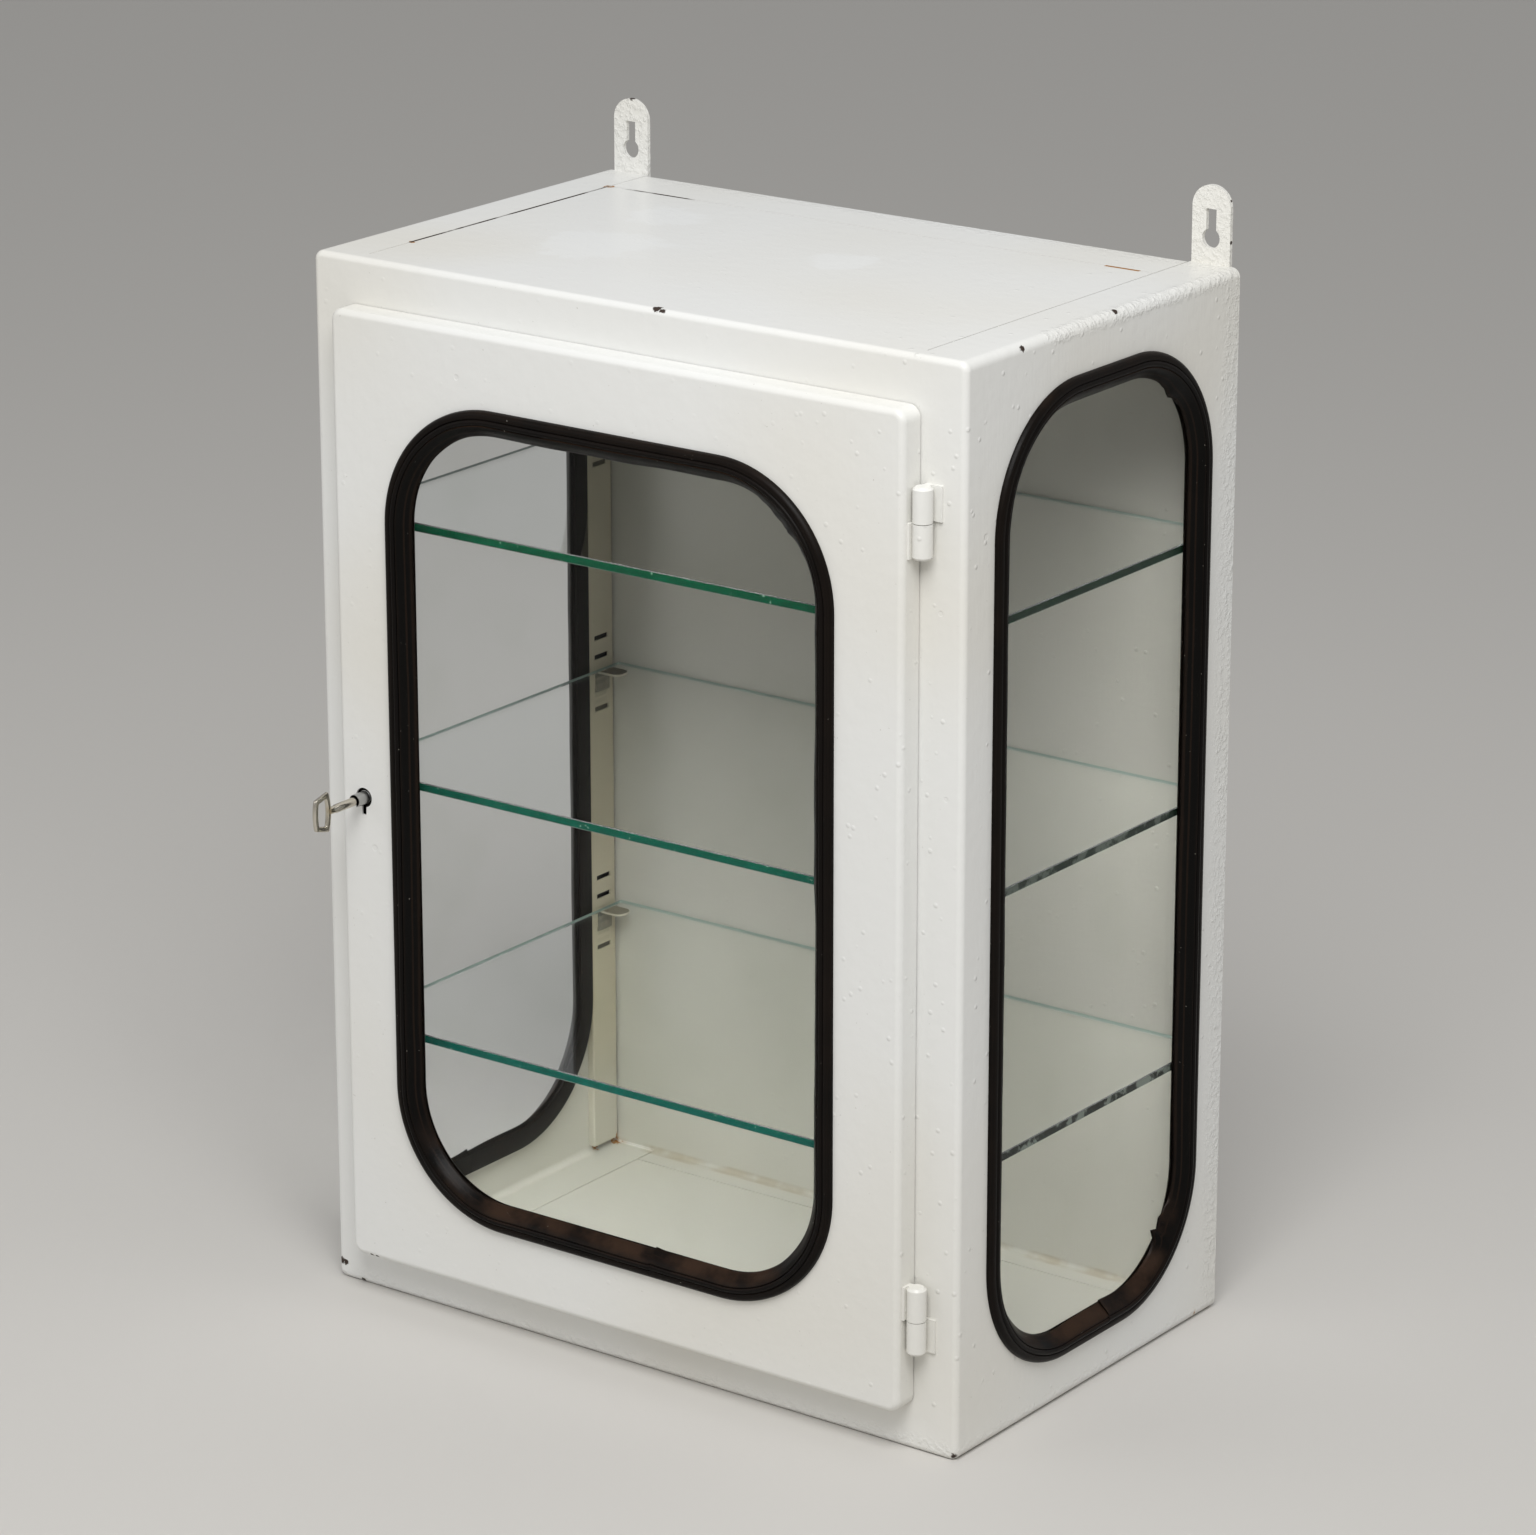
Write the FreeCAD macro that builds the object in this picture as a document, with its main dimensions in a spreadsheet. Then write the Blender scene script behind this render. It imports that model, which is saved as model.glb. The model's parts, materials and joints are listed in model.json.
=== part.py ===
import FreeCAD, Part
import math
import os
import re
import Sketcher

# Sizes in millimetres
SIZES = {
    # Carcass of folded sheet
    "body_width": 500.0,
    "body_depth": 300.0,
    "body_height": 700.0,
    "sheet": 1.2,
    "corner_bend": 6.0,
    "front_bend": 4.0,
    "rear_bend": 4.0,
    "frame_return": 12.0,
    "side_flange": 36.0,
    "back_flange": 42.0,
    "foot_flange": 20.0,
    "seam": 0.8,
    "fit_gap": 0.3,
    # Door opening in the front frame
    "door_overlap": 6.0,
    "opening_flange": 8.0,
    "opening_radius": 6.0,
    # Door pan
    "door_lock_margin": 28.0,
    "door_hinge_margin": 32.0,
    "door_rail_margin": 30.0,
    "door_depth": 17.2,
    "door_gap": 0.8,
    "door_radius": 8.0,
    "door_bend": 4.0,
    "door_rear_flange": 7.0,
    # Windows, measured to the outer edge of the rubber
    "window_stile_lock": 43.0,
    "window_stile_hinge": 49.5,
    "window_rail_top": 47.5,
    "window_rail_bottom": 45.0,
    "side_window_margin": 31.0,
    "window_radius": 86.0,
    # Rubber glazing section
    "gasket_width": 17.5,
    "gasket_grip": 7.0,
    "gasket_web": 3.5,
    "gasket_crown": 4.2,
    "gasket_rear": 9.3,
    "lip_edge": 0.8,
    "strip_start": 5.4,
    "strip_width": 3.8,
    "strip_depth": 2.0,
    "strip_crown": 0.7,
    "glass_setback": 5.0,
    "pane_thickness": 3.0,
    # Slotted uprights and shelves
    "upright_width": 26.0,
    "upright_depth": 5.3,
    "upright_inset": 3.0,
    "upright_bend": 1.0,
    "upright_foot_gap": 5.3,
    "upright_head_gap": 5.8,
    "slot_width": 15.0,
    "slot_height": 3.6,
    "slot_pitch": 13.6,
    "shelf_lowest": 184.0,
    "shelf_pitch": 173.4,
    "shelf_thickness": 6.0,
    "shelf_arris": 0.6,
    "shelf_side_gap": 10.5,
    "shelf_front_gap": 11.0,
    "shelf_rear_gap": 3.0,
    "bracket_thickness": 1.5,
    "bracket_width": 14.0,
    "bracket_reach": 20.0,
    "bracket_tongue": 1.8,
    "bracket_nose": 6.0,
    # Hanging lugs
    "lug_width": 28.0,
    "lug_thickness": 3.0,
    "lug_inset": 8.0,
    "lug_foot": 45.0,
    "lug_rise": 50.0,
    "lug_entry_radius": 6.4,
    "lug_entry_rise": 16.2,
    "lug_slot_width": 7.4,
    "lug_slot_rise": 34.8,
    # Weld-on hinges
    "barrel_radius": 6.2,
    "barrel_side_gap": 0.7,
    "barrel_face_gap": 1.6,
    "barrel_chamfer": 1.6,
    "barrel_cap": 2.0,
    "knuckle_length": 22.0,
    "knuckle_gap": 0.5,
    "leaf_thickness": 1.6,
    "leaf_neck": 2.4,
    "frame_leaf_reach": 9.5,
    "door_leaf_reach": 6.0,
    "pin_radius": 3.0,
    "pin_clearance": 0.05,
    "hinge_top_inset": 68.75,
    "hinge_bottom_inset": 62.0,
    # Lock
    "lock_backset": 19.0,
    "case_edge": 7.7,
    "case_width": 31.3,
    "case_height": 64.0,
    "case_depth": 24.3,
    "case_wall": 1.3,
    "cover_thickness": 1.2,
    "bolt_clearance": 0.3,
    "bolt_thickness": 3.0,
    "bolt_inset": 5.3,
    "bolt_lift": 7.5,
    "bolt_height": 14.5,
    "bolt_notch": 2.1,
    "bolt_head": 5.3,
    "bolt_throw": 8.0,
    "strike_clearance": 0.8,
    "spring_thickness": 0.6,
    "boss_radius": 2.6,
    "boss_inset": 5.0,
    "screw_radius": 1.25,
    "screw_head_radius": 2.4,
    "screw_head_height": 1.0,
    "keyhole_radius": 6.5,
    "keyslot_width": 3.6,
    "keyslot_drop": 11.5,
    "sleeve_radius": 4.25,
    "sleeve_proud": 9.5,
    "sleeve_slot": 3.2,
    "post_radius": 1.4,
    "post_length": 8.5,
    # Key
    "key_radius": 2.5,
    "key_clearance": 0.05,
    "key_bore_radius": 1.7,
    "key_tip_gap": 0.7,
    "key_bore_depth": 9.3,
    "key_neck_radius": 2.0,
    "key_shoulder": 22.0,
    "key_bow_start": 33.5,
    "bit_reach": 9.0,
    "bit_thickness": 2.2,
    "bit_length": 5.5,
    "bow_length": 16.0,
    "bow_inner_height": 27.0,
    "bow_outer_height": 20.6,
    "bow_bulge": 2.4,
    "bow_rim": 3.4,
    "bow_thickness": 2.8,
}

# Where the main faces lie, written in the sizes above
HALF_WIDTH = "(body_width / 2)"
FRONT = "(-body_depth / 2)"
BACK = "(body_depth / 2)"
INNER_SIDE = "(body_width / 2 - sheet)"
INNER_BACK = "(body_depth / 2 - sheet)"
RETURN_END = "(frame_return - body_depth / 2)"
DOOR_LEFT = "(door_lock_margin - body_width / 2)"
DOOR_RIGHT = "(body_width / 2 - door_hinge_margin)"
DOOR_BOTTOM = "door_rail_margin"
DOOR_TOP = "(body_height - door_rail_margin)"
DOOR_REAR = "(-body_depth / 2 - door_gap)"
DOOR_FRONT = "(-body_depth / 2 - door_gap - door_depth)"
HINGE_X = "(body_width / 2 - door_hinge_margin + barrel_side_gap + barrel_radius)"
HINGE_Y = "(-body_depth / 2 - barrel_face_gap - barrel_radius)"
LOCK_X = "(door_lock_margin - body_width / 2 + lock_backset)"
LOCK_Z = "(body_height / 2)"
CASE_LEFT = "(door_lock_margin - body_width / 2 + case_edge)"
CASE_RIGHT = "(door_lock_margin - body_width / 2 + case_edge + case_width)"
CASE_FRONT = "(-body_depth / 2 - door_gap - door_depth + sheet)"
CASE_REAR = "(-body_depth / 2 - door_gap - door_depth + sheet + case_depth)"
CASE_BOTTOM = "(body_height / 2 - case_height / 2)"
CASE_TOP = "(body_height / 2 + case_height / 2)"
BOLT_FRONT = "(-body_depth / 2 - door_gap - door_depth + sheet + case_depth - bolt_inset)"
BOLT_BOTTOM = "(body_height / 2 + bolt_lift)"
BOLT_TOP = "(body_height / 2 + bolt_lift + bolt_height)"

DIAGONAL = math.sqrt(0.5)
TOLERANCE = 1e-5
SHELF_LEVELS = ("lower", "middle", "upper")
SLOTS_PER_SHELF = 5
SIDES = {"left": -1, "right": 1}
ENDS = {"front": -1, "rear": 1}

doc = FreeCAD.newDocument("MedicineCabinet")
sizes = doc.addObject("Spreadsheet::Sheet", "Sizes")
for row, (size_name, size) in enumerate(SIZES.items(), start=1):
    sizes.set("A%d" % row, size_name)
    sizes.set("B%d" % row, str(size))
    sizes.setAlias("B%d" % row, size_name)
doc.recompute()
nodes = []


def bound(text):
    """The same expression with every size name pointing at the sheet."""
    return re.sub(r"[a-z_]+", lambda word: "Sizes." + word.group(0), text)


def value(text):
    """The number that an expression gives now."""
    return float(sizes.evalExpression(text))


def flip(sign, text):
    """An expression mirrored for the side it stands on."""
    return "(%d * (%s))" % (sign, text)


def new_body(name):
    """A named sub-part."""
    body = doc.addObject("PartDesign::Body", name)
    body.Label = name
    nodes.append(body)
    return body


def place(body, x, y, z, turn=0.0):
    """Put a sub-part at its place, turned about the vertical."""
    body.Placement = FreeCAD.Placement(FreeCAD.Vector(), FreeCAD.Rotation(FreeCAD.Vector(0, 0, 1), turn))
    for axis, text in (("x", x), ("y", y), ("z", z)):
        body.setExpression("Placement.Base." + axis, bound(text))


def sketch_on(body, plane, level="0"):
    """A sketch on one of the body's own planes, at a level along X, Y or Z."""
    sketch = body.newObject("Sketcher::SketchObject", body.Name + "_sketch")
    support = next(item for item in body.Origin.OriginFeatures if item.Role == plane + "_Plane")
    sketch.AttachmentSupport = [(support, "")]
    sketch.MapMode = "FlatFace"
    sign = -1 if plane == "XZ" else 1
    sketch.setExpression("AttachmentOffset.Base.z", bound(flip(sign, level)))
    return sketch


def pin_point(sketch, geometry, spot, point):
    """Hold one point of a sketch at two bound coordinates."""
    for kind, text in zip(("DistanceX", "DistanceY"), point):
        here = sketch.addConstraint(Sketcher.Constraint(kind, -1, 1, geometry, spot, value(text)))
        sketch.setExpression("Constraints[%d]" % here, bound(text))


def outline(sketch, points, arcs=None):
    """A closed outline through bound points; arcs maps a side's number to a point that it passes."""
    arcs = arcs or {}
    spots = [FreeCAD.Vector(value(across), value(up), 0) for across, up in points]
    sides = []
    for index, start in enumerate(spots):
        end = spots[(index + 1) % len(spots)]
        if index in arcs:
            via = FreeCAD.Vector(value(arcs[index][0]), value(arcs[index][1]), 0)
            turns_left = (via - start).cross(end - via).z > 0
            arc = Part.Arc(start, via, end) if turns_left else Part.Arc(end, via, start)
            geometry = sketch.addGeometry(arc)
            first = 1 if turns_left else 2
            through = sketch.addGeometry(Part.Point(via), True)
            sketch.addConstraint(Sketcher.Constraint("PointOnObject", through, 1, geometry))
            pin_point(sketch, through, 1, arcs[index])
        else:
            geometry = sketch.addGeometry(Part.LineSegment(start, end))
            first = 1
        sides.append((geometry, first))
    for index, (geometry, first) in enumerate(sides):
        before, before_first = sides[index - 1]
        sketch.addConstraint(Sketcher.Constraint("Coincident", before, 3 - before_first, geometry, first))
        pin_point(sketch, geometry, first, points[index])


def circle(sketch, across, up, radius):
    """A circle with bound centre and radius."""
    centre = FreeCAD.Vector(value(across), value(up), 0)
    geometry = sketch.addGeometry(Part.Circle(centre, FreeCAD.Vector(0, 0, 1), value(radius)))
    pin_point(sketch, geometry, 3, (across, up))
    here = sketch.addConstraint(Sketcher.Constraint("Radius", geometry, value(radius)))
    sketch.setExpression("Constraints[%d]" % here, bound(radius))


def rectangle(sketch, left, right, low, high):
    """An upright rectangle."""
    outline(sketch, [(left, low), (right, low), (right, high), (left, high)])


def rounded_rectangle(sketch, left, right, low, high, radius):
    """A rectangle with round corners that starts in the middle of its low side."""
    cut = "%.9f * (%s)" % (1 - DIAGONAL, radius)
    middle = "((%s) + (%s)) / 2" % (left, right)
    points = [
        (middle, low),
        ("(%s) - (%s)" % (right, radius), low),
        (right, "(%s) + (%s)" % (low, radius)),
        (right, "(%s) - (%s)" % (high, radius)),
        ("(%s) - (%s)" % (right, radius), high),
        ("(%s) + (%s)" % (left, radius), high),
        (left, "(%s) - (%s)" % (high, radius)),
        (left, "(%s) + (%s)" % (low, radius)),
        ("(%s) + (%s)" % (left, radius), low),
    ]
    arcs = {
        1: ("(%s) - %s" % (right, cut), "(%s) + %s" % (low, cut)),
        3: ("(%s) - %s" % (right, cut), "(%s) - %s" % (high, cut)),
        5: ("(%s) + %s" % (left, cut), "(%s) - %s" % (high, cut)),
        7: ("(%s) + %s" % (left, cut), "(%s) + %s" % (low, cut)),
    }
    outline(sketch, points, arcs)


def plane_sign(sketch):
    """Which way the sketch's plane faces along its axis."""
    return -1 if sketch.AttachmentSupport[0][0].Role == "XZ_Plane" else 1


def pad(body, sketch, length, toward=1):
    """Raise a sketch along its axis."""
    feature = body.newObject("PartDesign::Pad", body.Name + "_pad")
    feature.Profile = sketch
    feature.setExpression("Length", bound(length))
    feature.Reversed = toward != plane_sign(sketch)
    doc.recompute()
    return feature


def pocket(body, sketch, length, toward=1):
    """Cut a sketch into the body along its axis."""
    feature = body.newObject("PartDesign::Pocket", body.Name + "_pocket")
    feature.Profile = sketch
    feature.setExpression("Length", bound(length))
    feature.Reversed = toward == plane_sign(sketch)
    doc.recompute()
    return feature


def revolve(body, sketch):
    """Turn a sketch once about its own vertical axis."""
    feature = body.newObject("PartDesign::Revolution", body.Name + "_turned")
    feature.Profile = sketch
    feature.ReferenceAxis = (sketch, ["V_Axis"])
    feature.Angle = 360.0
    doc.recompute()
    return feature


def dress(body, kind, base, size, wanted):
    """Fillet or chamfer the edges of a feature that pass a test."""
    names = ["Edge%d" % number for number, edge in enumerate(base.Shape.Edges, start=1) if wanted(edge)]
    feature = body.newObject("PartDesign::" + kind, body.Name + "_" + kind.lower())
    feature.Base = (base, names)
    feature.setExpression("Radius" if kind == "Fillet" else "Size", bound(size))
    doc.recompute()
    return feature


def runs_along(axis):
    """A test for straight edges along one axis."""
    others = [name for name in "xyz" if name != axis]

    def test(edge):
        ends = [vertex.Point for vertex in edge.Vertexes]
        return len(ends) == 2 and all(abs(getattr(ends[0], n) - getattr(ends[1], n)) < TOLERANCE for n in others)

    return test


def lies_at(axis, text):
    """A test for edges in one level plane."""
    level = value(text)

    def test(edge):
        return all(abs(getattr(vertex.Point, axis) - level) < TOLERANCE for vertex in edge.Vertexes)

    return test


def both(first, second):
    """A test that asks for two things."""
    return lambda edge: first(edge) and second(edge)


def folded_pan(body, left, right, low, high, front, depth, radius, bend):
    """A sheet folded back along its four edges, open at the rear."""
    sketch = sketch_on(body, "XZ", front)
    rectangle(sketch, left, right, low, high)
    block = pad(body, sketch, depth)
    block = dress(body, "Fillet", block, radius, runs_along("y"))
    dress(body, "Fillet", block, bend, lies_at("y", front))
    rear = "%s + %s" % (front, depth)
    sketch = sketch_on(body, "XZ", rear)
    inner = ["%s + sheet" % left, "%s - sheet" % right, "%s + sheet" % low, "%s - sheet" % high]
    rounded_rectangle(sketch, *inner, "%s - sheet" % radius)
    hollow = pocket(body, sketch, "%s - sheet" % depth, toward=-1)
    inside = "%s + sheet" % front
    dress(body, "Fillet", hollow, "%s - sheet" % bend, lies_at("y", inside))


def ring(body, outer, inner, level, length):
    """A rim between two rounded rectangles."""
    sketch = sketch_on(body, "XZ", level)
    rounded_rectangle(sketch, *outer)
    rounded_rectangle(sketch, *inner)
    pad(body, sketch, length)


def grown(box, by):
    """A rounded rectangle made larger all round."""
    left, right, low, high, radius = box
    return (
        "(%s - (%s))" % (left, by),
        "(%s + (%s))" % (right, by),
        "(%s - (%s))" % (low, by),
        "(%s + (%s))" % (high, by),
        "(%s + (%s))" % (radius, by),
    )


# Front frame: folded pan with a flanged door opening and a strike slot for the bolt
OPENING = (
    "(%s + door_overlap)" % DOOR_LEFT,
    "(%s - door_overlap)" % DOOR_RIGHT,
    "(%s + door_overlap)" % DOOR_BOTTOM,
    "(%s - door_overlap)" % DOOR_TOP,
    "opening_radius",
)
front_frame = new_body("front_frame")
folded_pan(front_frame, "(-%s)" % HALF_WIDTH, HALF_WIDTH, "0", "body_height", FRONT, "frame_return",
           "corner_bend", "front_bend")
opening = sketch_on(front_frame, "XZ", FRONT)
rounded_rectangle(opening, *OPENING)
pocket(front_frame, opening, "2 * sheet")
ring(front_frame, grown(OPENING, "sheet"), OPENING, FRONT, "opening_flange")
strike = sketch_on(front_frame, "YZ", OPENING[0])
rectangle(strike, "%s - strike_clearance" % BOLT_FRONT, "%s + bolt_thickness + strike_clearance" % BOLT_FRONT,
          "%s - strike_clearance" % BOLT_BOTTOM, "%s + strike_clearance" % BOLT_TOP)
pocket(front_frame, strike, "2 * sheet", toward=-1)

# Side walls: sheet with a flange at head and foot and a round-cornered window
for side, sign in SIDES.items():
    panel = new_body(side + "_side_panel")
    section = sketch_on(panel, "XZ", RETURN_END)
    outer_arc = "%.9f * corner_bend" % (1 - DIAGONAL)
    inner_arc = "sheet + %.9f * (corner_bend - sheet)" % (1 - DIAGONAL)
    tip = flip(sign, "%s - side_flange" % HALF_WIDTH)
    bend = flip(sign, "%s - corner_bend" % HALF_WIDTH)
    wall = flip(sign, HALF_WIDTH)
    inside = flip(sign, INNER_SIDE)
    outline(section, [
        (tip, "body_height"), (bend, "body_height"), (wall, "body_height - corner_bend"), (wall, "corner_bend"),
        (bend, "0"), (tip, "0"), (tip, "sheet"), (bend, "sheet"), (inside, "corner_bend"),
        (inside, "body_height - corner_bend"), (bend, "body_height - sheet"), (tip, "body_height - sheet"),
    ], {
        1: (flip(sign, "%s - %s" % (HALF_WIDTH, outer_arc)), "body_height - " + outer_arc),
        3: (flip(sign, "%s - %s" % (HALF_WIDTH, outer_arc)), outer_arc),
        7: (flip(sign, "%s - (%s)" % (HALF_WIDTH, inner_arc)), inner_arc),
        9: (flip(sign, "%s - (%s)" % (HALF_WIDTH, inner_arc)), "body_height - (%s)" % inner_arc),
    })
    pad(panel, section, "body_depth - frame_return")
    window = sketch_on(panel, "YZ", wall)
    rounded_rectangle(window, "%s + side_window_margin + gasket_grip" % FRONT,
                      "%s - side_window_margin - gasket_grip" % BACK, "side_window_margin + gasket_grip",
                      "body_height - side_window_margin - gasket_grip", "window_radius - gasket_grip")
    pocket(panel, window, "2 * sheet", toward=-sign)

# Top and floor panels: flat sheets let in between the flanges
INSET_HALF = "(%s - side_flange - seam)" % HALF_WIDTH
for name, level, flange in (("top_panel", "body_height - sheet", "back_flange"), ("floor_panel", "0", "foot_flange")):
    panel = new_body(name)
    sheet_outline = sketch_on(panel, "XY", level)
    rectangle(sheet_outline, "-" + INSET_HALF, INSET_HALF, RETURN_END, "%s - %s - seam" % (BACK, flange))
    pad(panel, sheet_outline, "sheet")

# Back panel: sheet between the side walls with a flange at head and foot
back_panel = new_body("back_panel")
back_sheet = sketch_on(back_panel, "XZ", INNER_BACK)
rounded_rectangle(back_sheet, "-" + INNER_SIDE, INNER_SIDE, "sheet", "body_height - sheet", "corner_bend")
pad(back_panel, back_sheet, "sheet")
back_section = sketch_on(back_panel, "YZ", "-" + INSET_HALF)
outer_arc = "%.9f * rear_bend" % (1 - DIAGONAL)
inner_arc = "sheet + %.9f * (rear_bend - sheet)" % (1 - DIAGONAL)
outline(back_section, [
    ("%s - back_flange" % BACK, "body_height"), ("%s - rear_bend" % BACK, "body_height"),
    (BACK, "body_height - rear_bend"), (BACK, "rear_bend"), ("%s - rear_bend" % BACK, "0"),
    ("%s - foot_flange" % BACK, "0"), ("%s - foot_flange" % BACK, "sheet"), ("%s - rear_bend" % BACK, "sheet"),
    (INNER_BACK, "rear_bend"), (INNER_BACK, "body_height - rear_bend"),
    ("%s - rear_bend" % BACK, "body_height - sheet"), ("%s - back_flange" % BACK, "body_height - sheet"),
], {
    1: ("%s - %s" % (BACK, outer_arc), "body_height - " + outer_arc),
    3: ("%s - %s" % (BACK, outer_arc), outer_arc),
    7: ("%s - (%s)" % (BACK, inner_arc), inner_arc),
    9: ("%s - (%s)" % (BACK, inner_arc), "body_height - (%s)" % inner_arc),
})
pad(back_panel, back_section, "2 * " + INSET_HALF)

# Hanging lugs: flat tabs behind the back panel with a keyhole to drop over a screw
for side, sign in SIDES.items():
    lug = new_body(side + "_hanging_lug")
    middle = flip(sign, "%s - lug_inset - lug_width / 2" % HALF_WIDTH)
    foot = "body_height - lug_foot"
    shoulder = "body_height + lug_rise - lug_width / 2"
    blank = sketch_on(lug, "XZ", BACK)
    outline(blank, [
        (middle + " - lug_width / 2", foot), (middle + " + lug_width / 2", foot),
        (middle + " + lug_width / 2", shoulder), (middle + " - lug_width / 2", shoulder),
    ], {2: (middle, "body_height + lug_rise")})
    pad(lug, blank, "lug_thickness")
    entry = sketch_on(lug, "XZ", BACK)
    circle(entry, middle, "body_height + lug_entry_rise", "lug_entry_radius")
    pocket(lug, entry, "2 * lug_thickness")
    neck = sketch_on(lug, "XZ", BACK)
    rectangle(neck, middle + " - lug_slot_width / 2", middle + " + lug_slot_width / 2",
              "body_height + lug_entry_rise", "body_height + lug_slot_rise")
    pocket(lug, neck, "2 * lug_thickness")

# Slotted uprights: shallow channels, two on each side wall
for side, sign in SIDES.items():
    for end, end_sign in ENDS.items():
        upright = new_body("shelf_upright_%s_%s" % (side, end))
        web = flip(sign, "%s - upright_depth" % INNER_SIDE)
        web_back = flip(sign, "%s - upright_depth + sheet" % INNER_SIDE)
        wall = flip(sign, INNER_SIDE)
        outer_leg = flip(end_sign, "%s - upright_inset" % INNER_BACK)
        inner_leg = flip(end_sign, "%s - upright_inset - upright_width" % INNER_BACK)
        outer_in = flip(end_sign, "%s - upright_inset - sheet" % INNER_BACK)
        inner_in = flip(end_sign, "%s - upright_inset - upright_width + sheet" % INNER_BACK)
        channel = sketch_on(upright, "XY", "sheet + upright_foot_gap")
        outline(channel, [
            (wall, inner_leg), (web, inner_leg), (web, outer_leg), (wall, outer_leg),
            (wall, outer_in), (web_back, outer_in), (web_back, inner_in), (wall, inner_in),
        ])
        bar = pad(upright, channel, "body_height - 2 * sheet - upright_foot_gap - upright_head_gap")
        dress(upright, "Fillet", bar, "upright_bend", both(runs_along("z"), lies_at("x", web)))
        slots = sketch_on(upright, "YZ", web)
        centre = flip(end_sign, "%s - upright_inset - upright_width / 2" % INNER_BACK)
        for step in range(SLOTS_PER_SHELF):
            level = "shelf_lowest - shelf_thickness - bracket_thickness / 2 + %d * slot_pitch" % (
                step - SLOTS_PER_SHELF // 2)
            rectangle(slots, centre + " - slot_width / 2", centre + " + slot_width / 2",
                      level + " - slot_height / 2", level + " + slot_height / 2")
        punched = pocket(upright, slots, "2 * sheet", toward=sign)
        rows = upright.newObject("PartDesign::LinearPattern", upright.Name + "_rows")
        rows.Originals = [punched]
        rows.Direction = (slots, ["V_Axis"])
        rows.setExpression("Length", bound("%d * shelf_pitch" % (len(SHELF_LEVELS) - 1)))
        rows.Occurrences = len(SHELF_LEVELS)
        upright.Tip = rows
        doc.recompute()

# Glass shelves with ground edges, and the four clips under each
for step, level_name in enumerate(SHELF_LEVELS):
    top = "(shelf_lowest + %d * shelf_pitch)" % step
    shelf = new_body("glass_shelf_" + level_name)
    plate = sketch_on(shelf, "XY", "%s - shelf_thickness" % top)
    half = "(%s - shelf_side_gap)" % HALF_WIDTH
    rectangle(plate, "-" + half, half, "%s + shelf_front_gap" % FRONT, "%s - shelf_rear_gap" % BACK)
    blank = pad(shelf, plate, "shelf_thickness")
    dress(shelf, "Chamfer", blank, "shelf_arris", lambda edge: True)
    under = "%s - shelf_thickness" % top
    for side, sign in SIDES.items():
        for end, end_sign in ENDS.items():
            bracket = new_body("shelf_bracket_%s_%s_%s" % (level_name, side, end))
            centre = flip(end_sign, "%s - upright_inset - upright_width / 2" % INNER_BACK)

            def inward(distance):
                """A distance from the upright's face into the cabinet."""
                return flip(sign, "%s - upright_depth - (%s)" % (INNER_SIDE, distance))

            tongue = inward("-sheet - bracket_tongue")
            face = inward("0")
            plate_face = inward("bracket_thickness")
            nose = inward("bracket_reach")
            tab_low = "%s - bracket_thickness" % under
            hook_high = "%s - slot_pitch" % under
            hook_low = "%s - slot_pitch - bracket_thickness" % under
            clip = sketch_on(bracket, "XZ", "%s - bracket_width / 2" % centre)
            outline(clip, [
                (tongue, under), (nose, under), (nose, tab_low), (plate_face, tab_low), (plate_face, hook_low),
                (tongue, hook_low), (tongue, hook_high), (face, hook_high), (face, tab_low), (tongue, tab_low),
            ])
            bent = pad(bracket, clip, "bracket_width")
            dress(bracket, "Fillet", bent, "bracket_nose", both(runs_along("z"), lies_at("x", nose)))

# Door pan: folded on four edges, with a stiffening flange behind, a window and a keyhole
door_panel = new_body("door_panel")
DOOR_EDGE = (DOOR_LEFT, DOOR_RIGHT, DOOR_BOTTOM, DOOR_TOP, "door_radius")
folded_pan(door_panel, *DOOR_EDGE[:4], DOOR_FRONT, "door_depth", "door_radius", "door_bend")
FLANGE_EDGE = grown(DOOR_EDGE, "-door_rear_flange")
ring(door_panel, DOOR_EDGE, (*FLANGE_EDGE[:4], "(door_radius / 4)"), "%s - sheet" % DOOR_REAR, "sheet")
WINDOW_LEFT = "(%s + window_stile_lock)" % DOOR_LEFT
WINDOW_RIGHT = "(%s - window_stile_hinge)" % DOOR_RIGHT
WINDOW_LOW = "(%s + window_rail_bottom)" % DOOR_BOTTOM
WINDOW_HIGH = "(%s - window_rail_top)" % DOOR_TOP
door_window = sketch_on(door_panel, "XZ", DOOR_FRONT)
rounded_rectangle(door_window, *grown((WINDOW_LEFT, WINDOW_RIGHT, WINDOW_LOW, WINDOW_HIGH, "window_radius"),
                                      "-gasket_grip"))
pocket(door_panel, door_window, "2 * sheet")
keyhole = sketch_on(door_panel, "XZ", DOOR_FRONT)
circle(keyhole, LOCK_X, LOCK_Z, "keyhole_radius")
pocket(door_panel, keyhole, "2 * sheet")
keyslot = sketch_on(door_panel, "XZ", DOOR_FRONT)
rectangle(keyslot, "%s - keyslot_width / 2" % LOCK_X, "%s + keyslot_width / 2" % LOCK_X,
          "%s - keyslot_drop" % LOCK_Z, LOCK_Z)
pocket(door_panel, keyslot, "2 * sheet")


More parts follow.
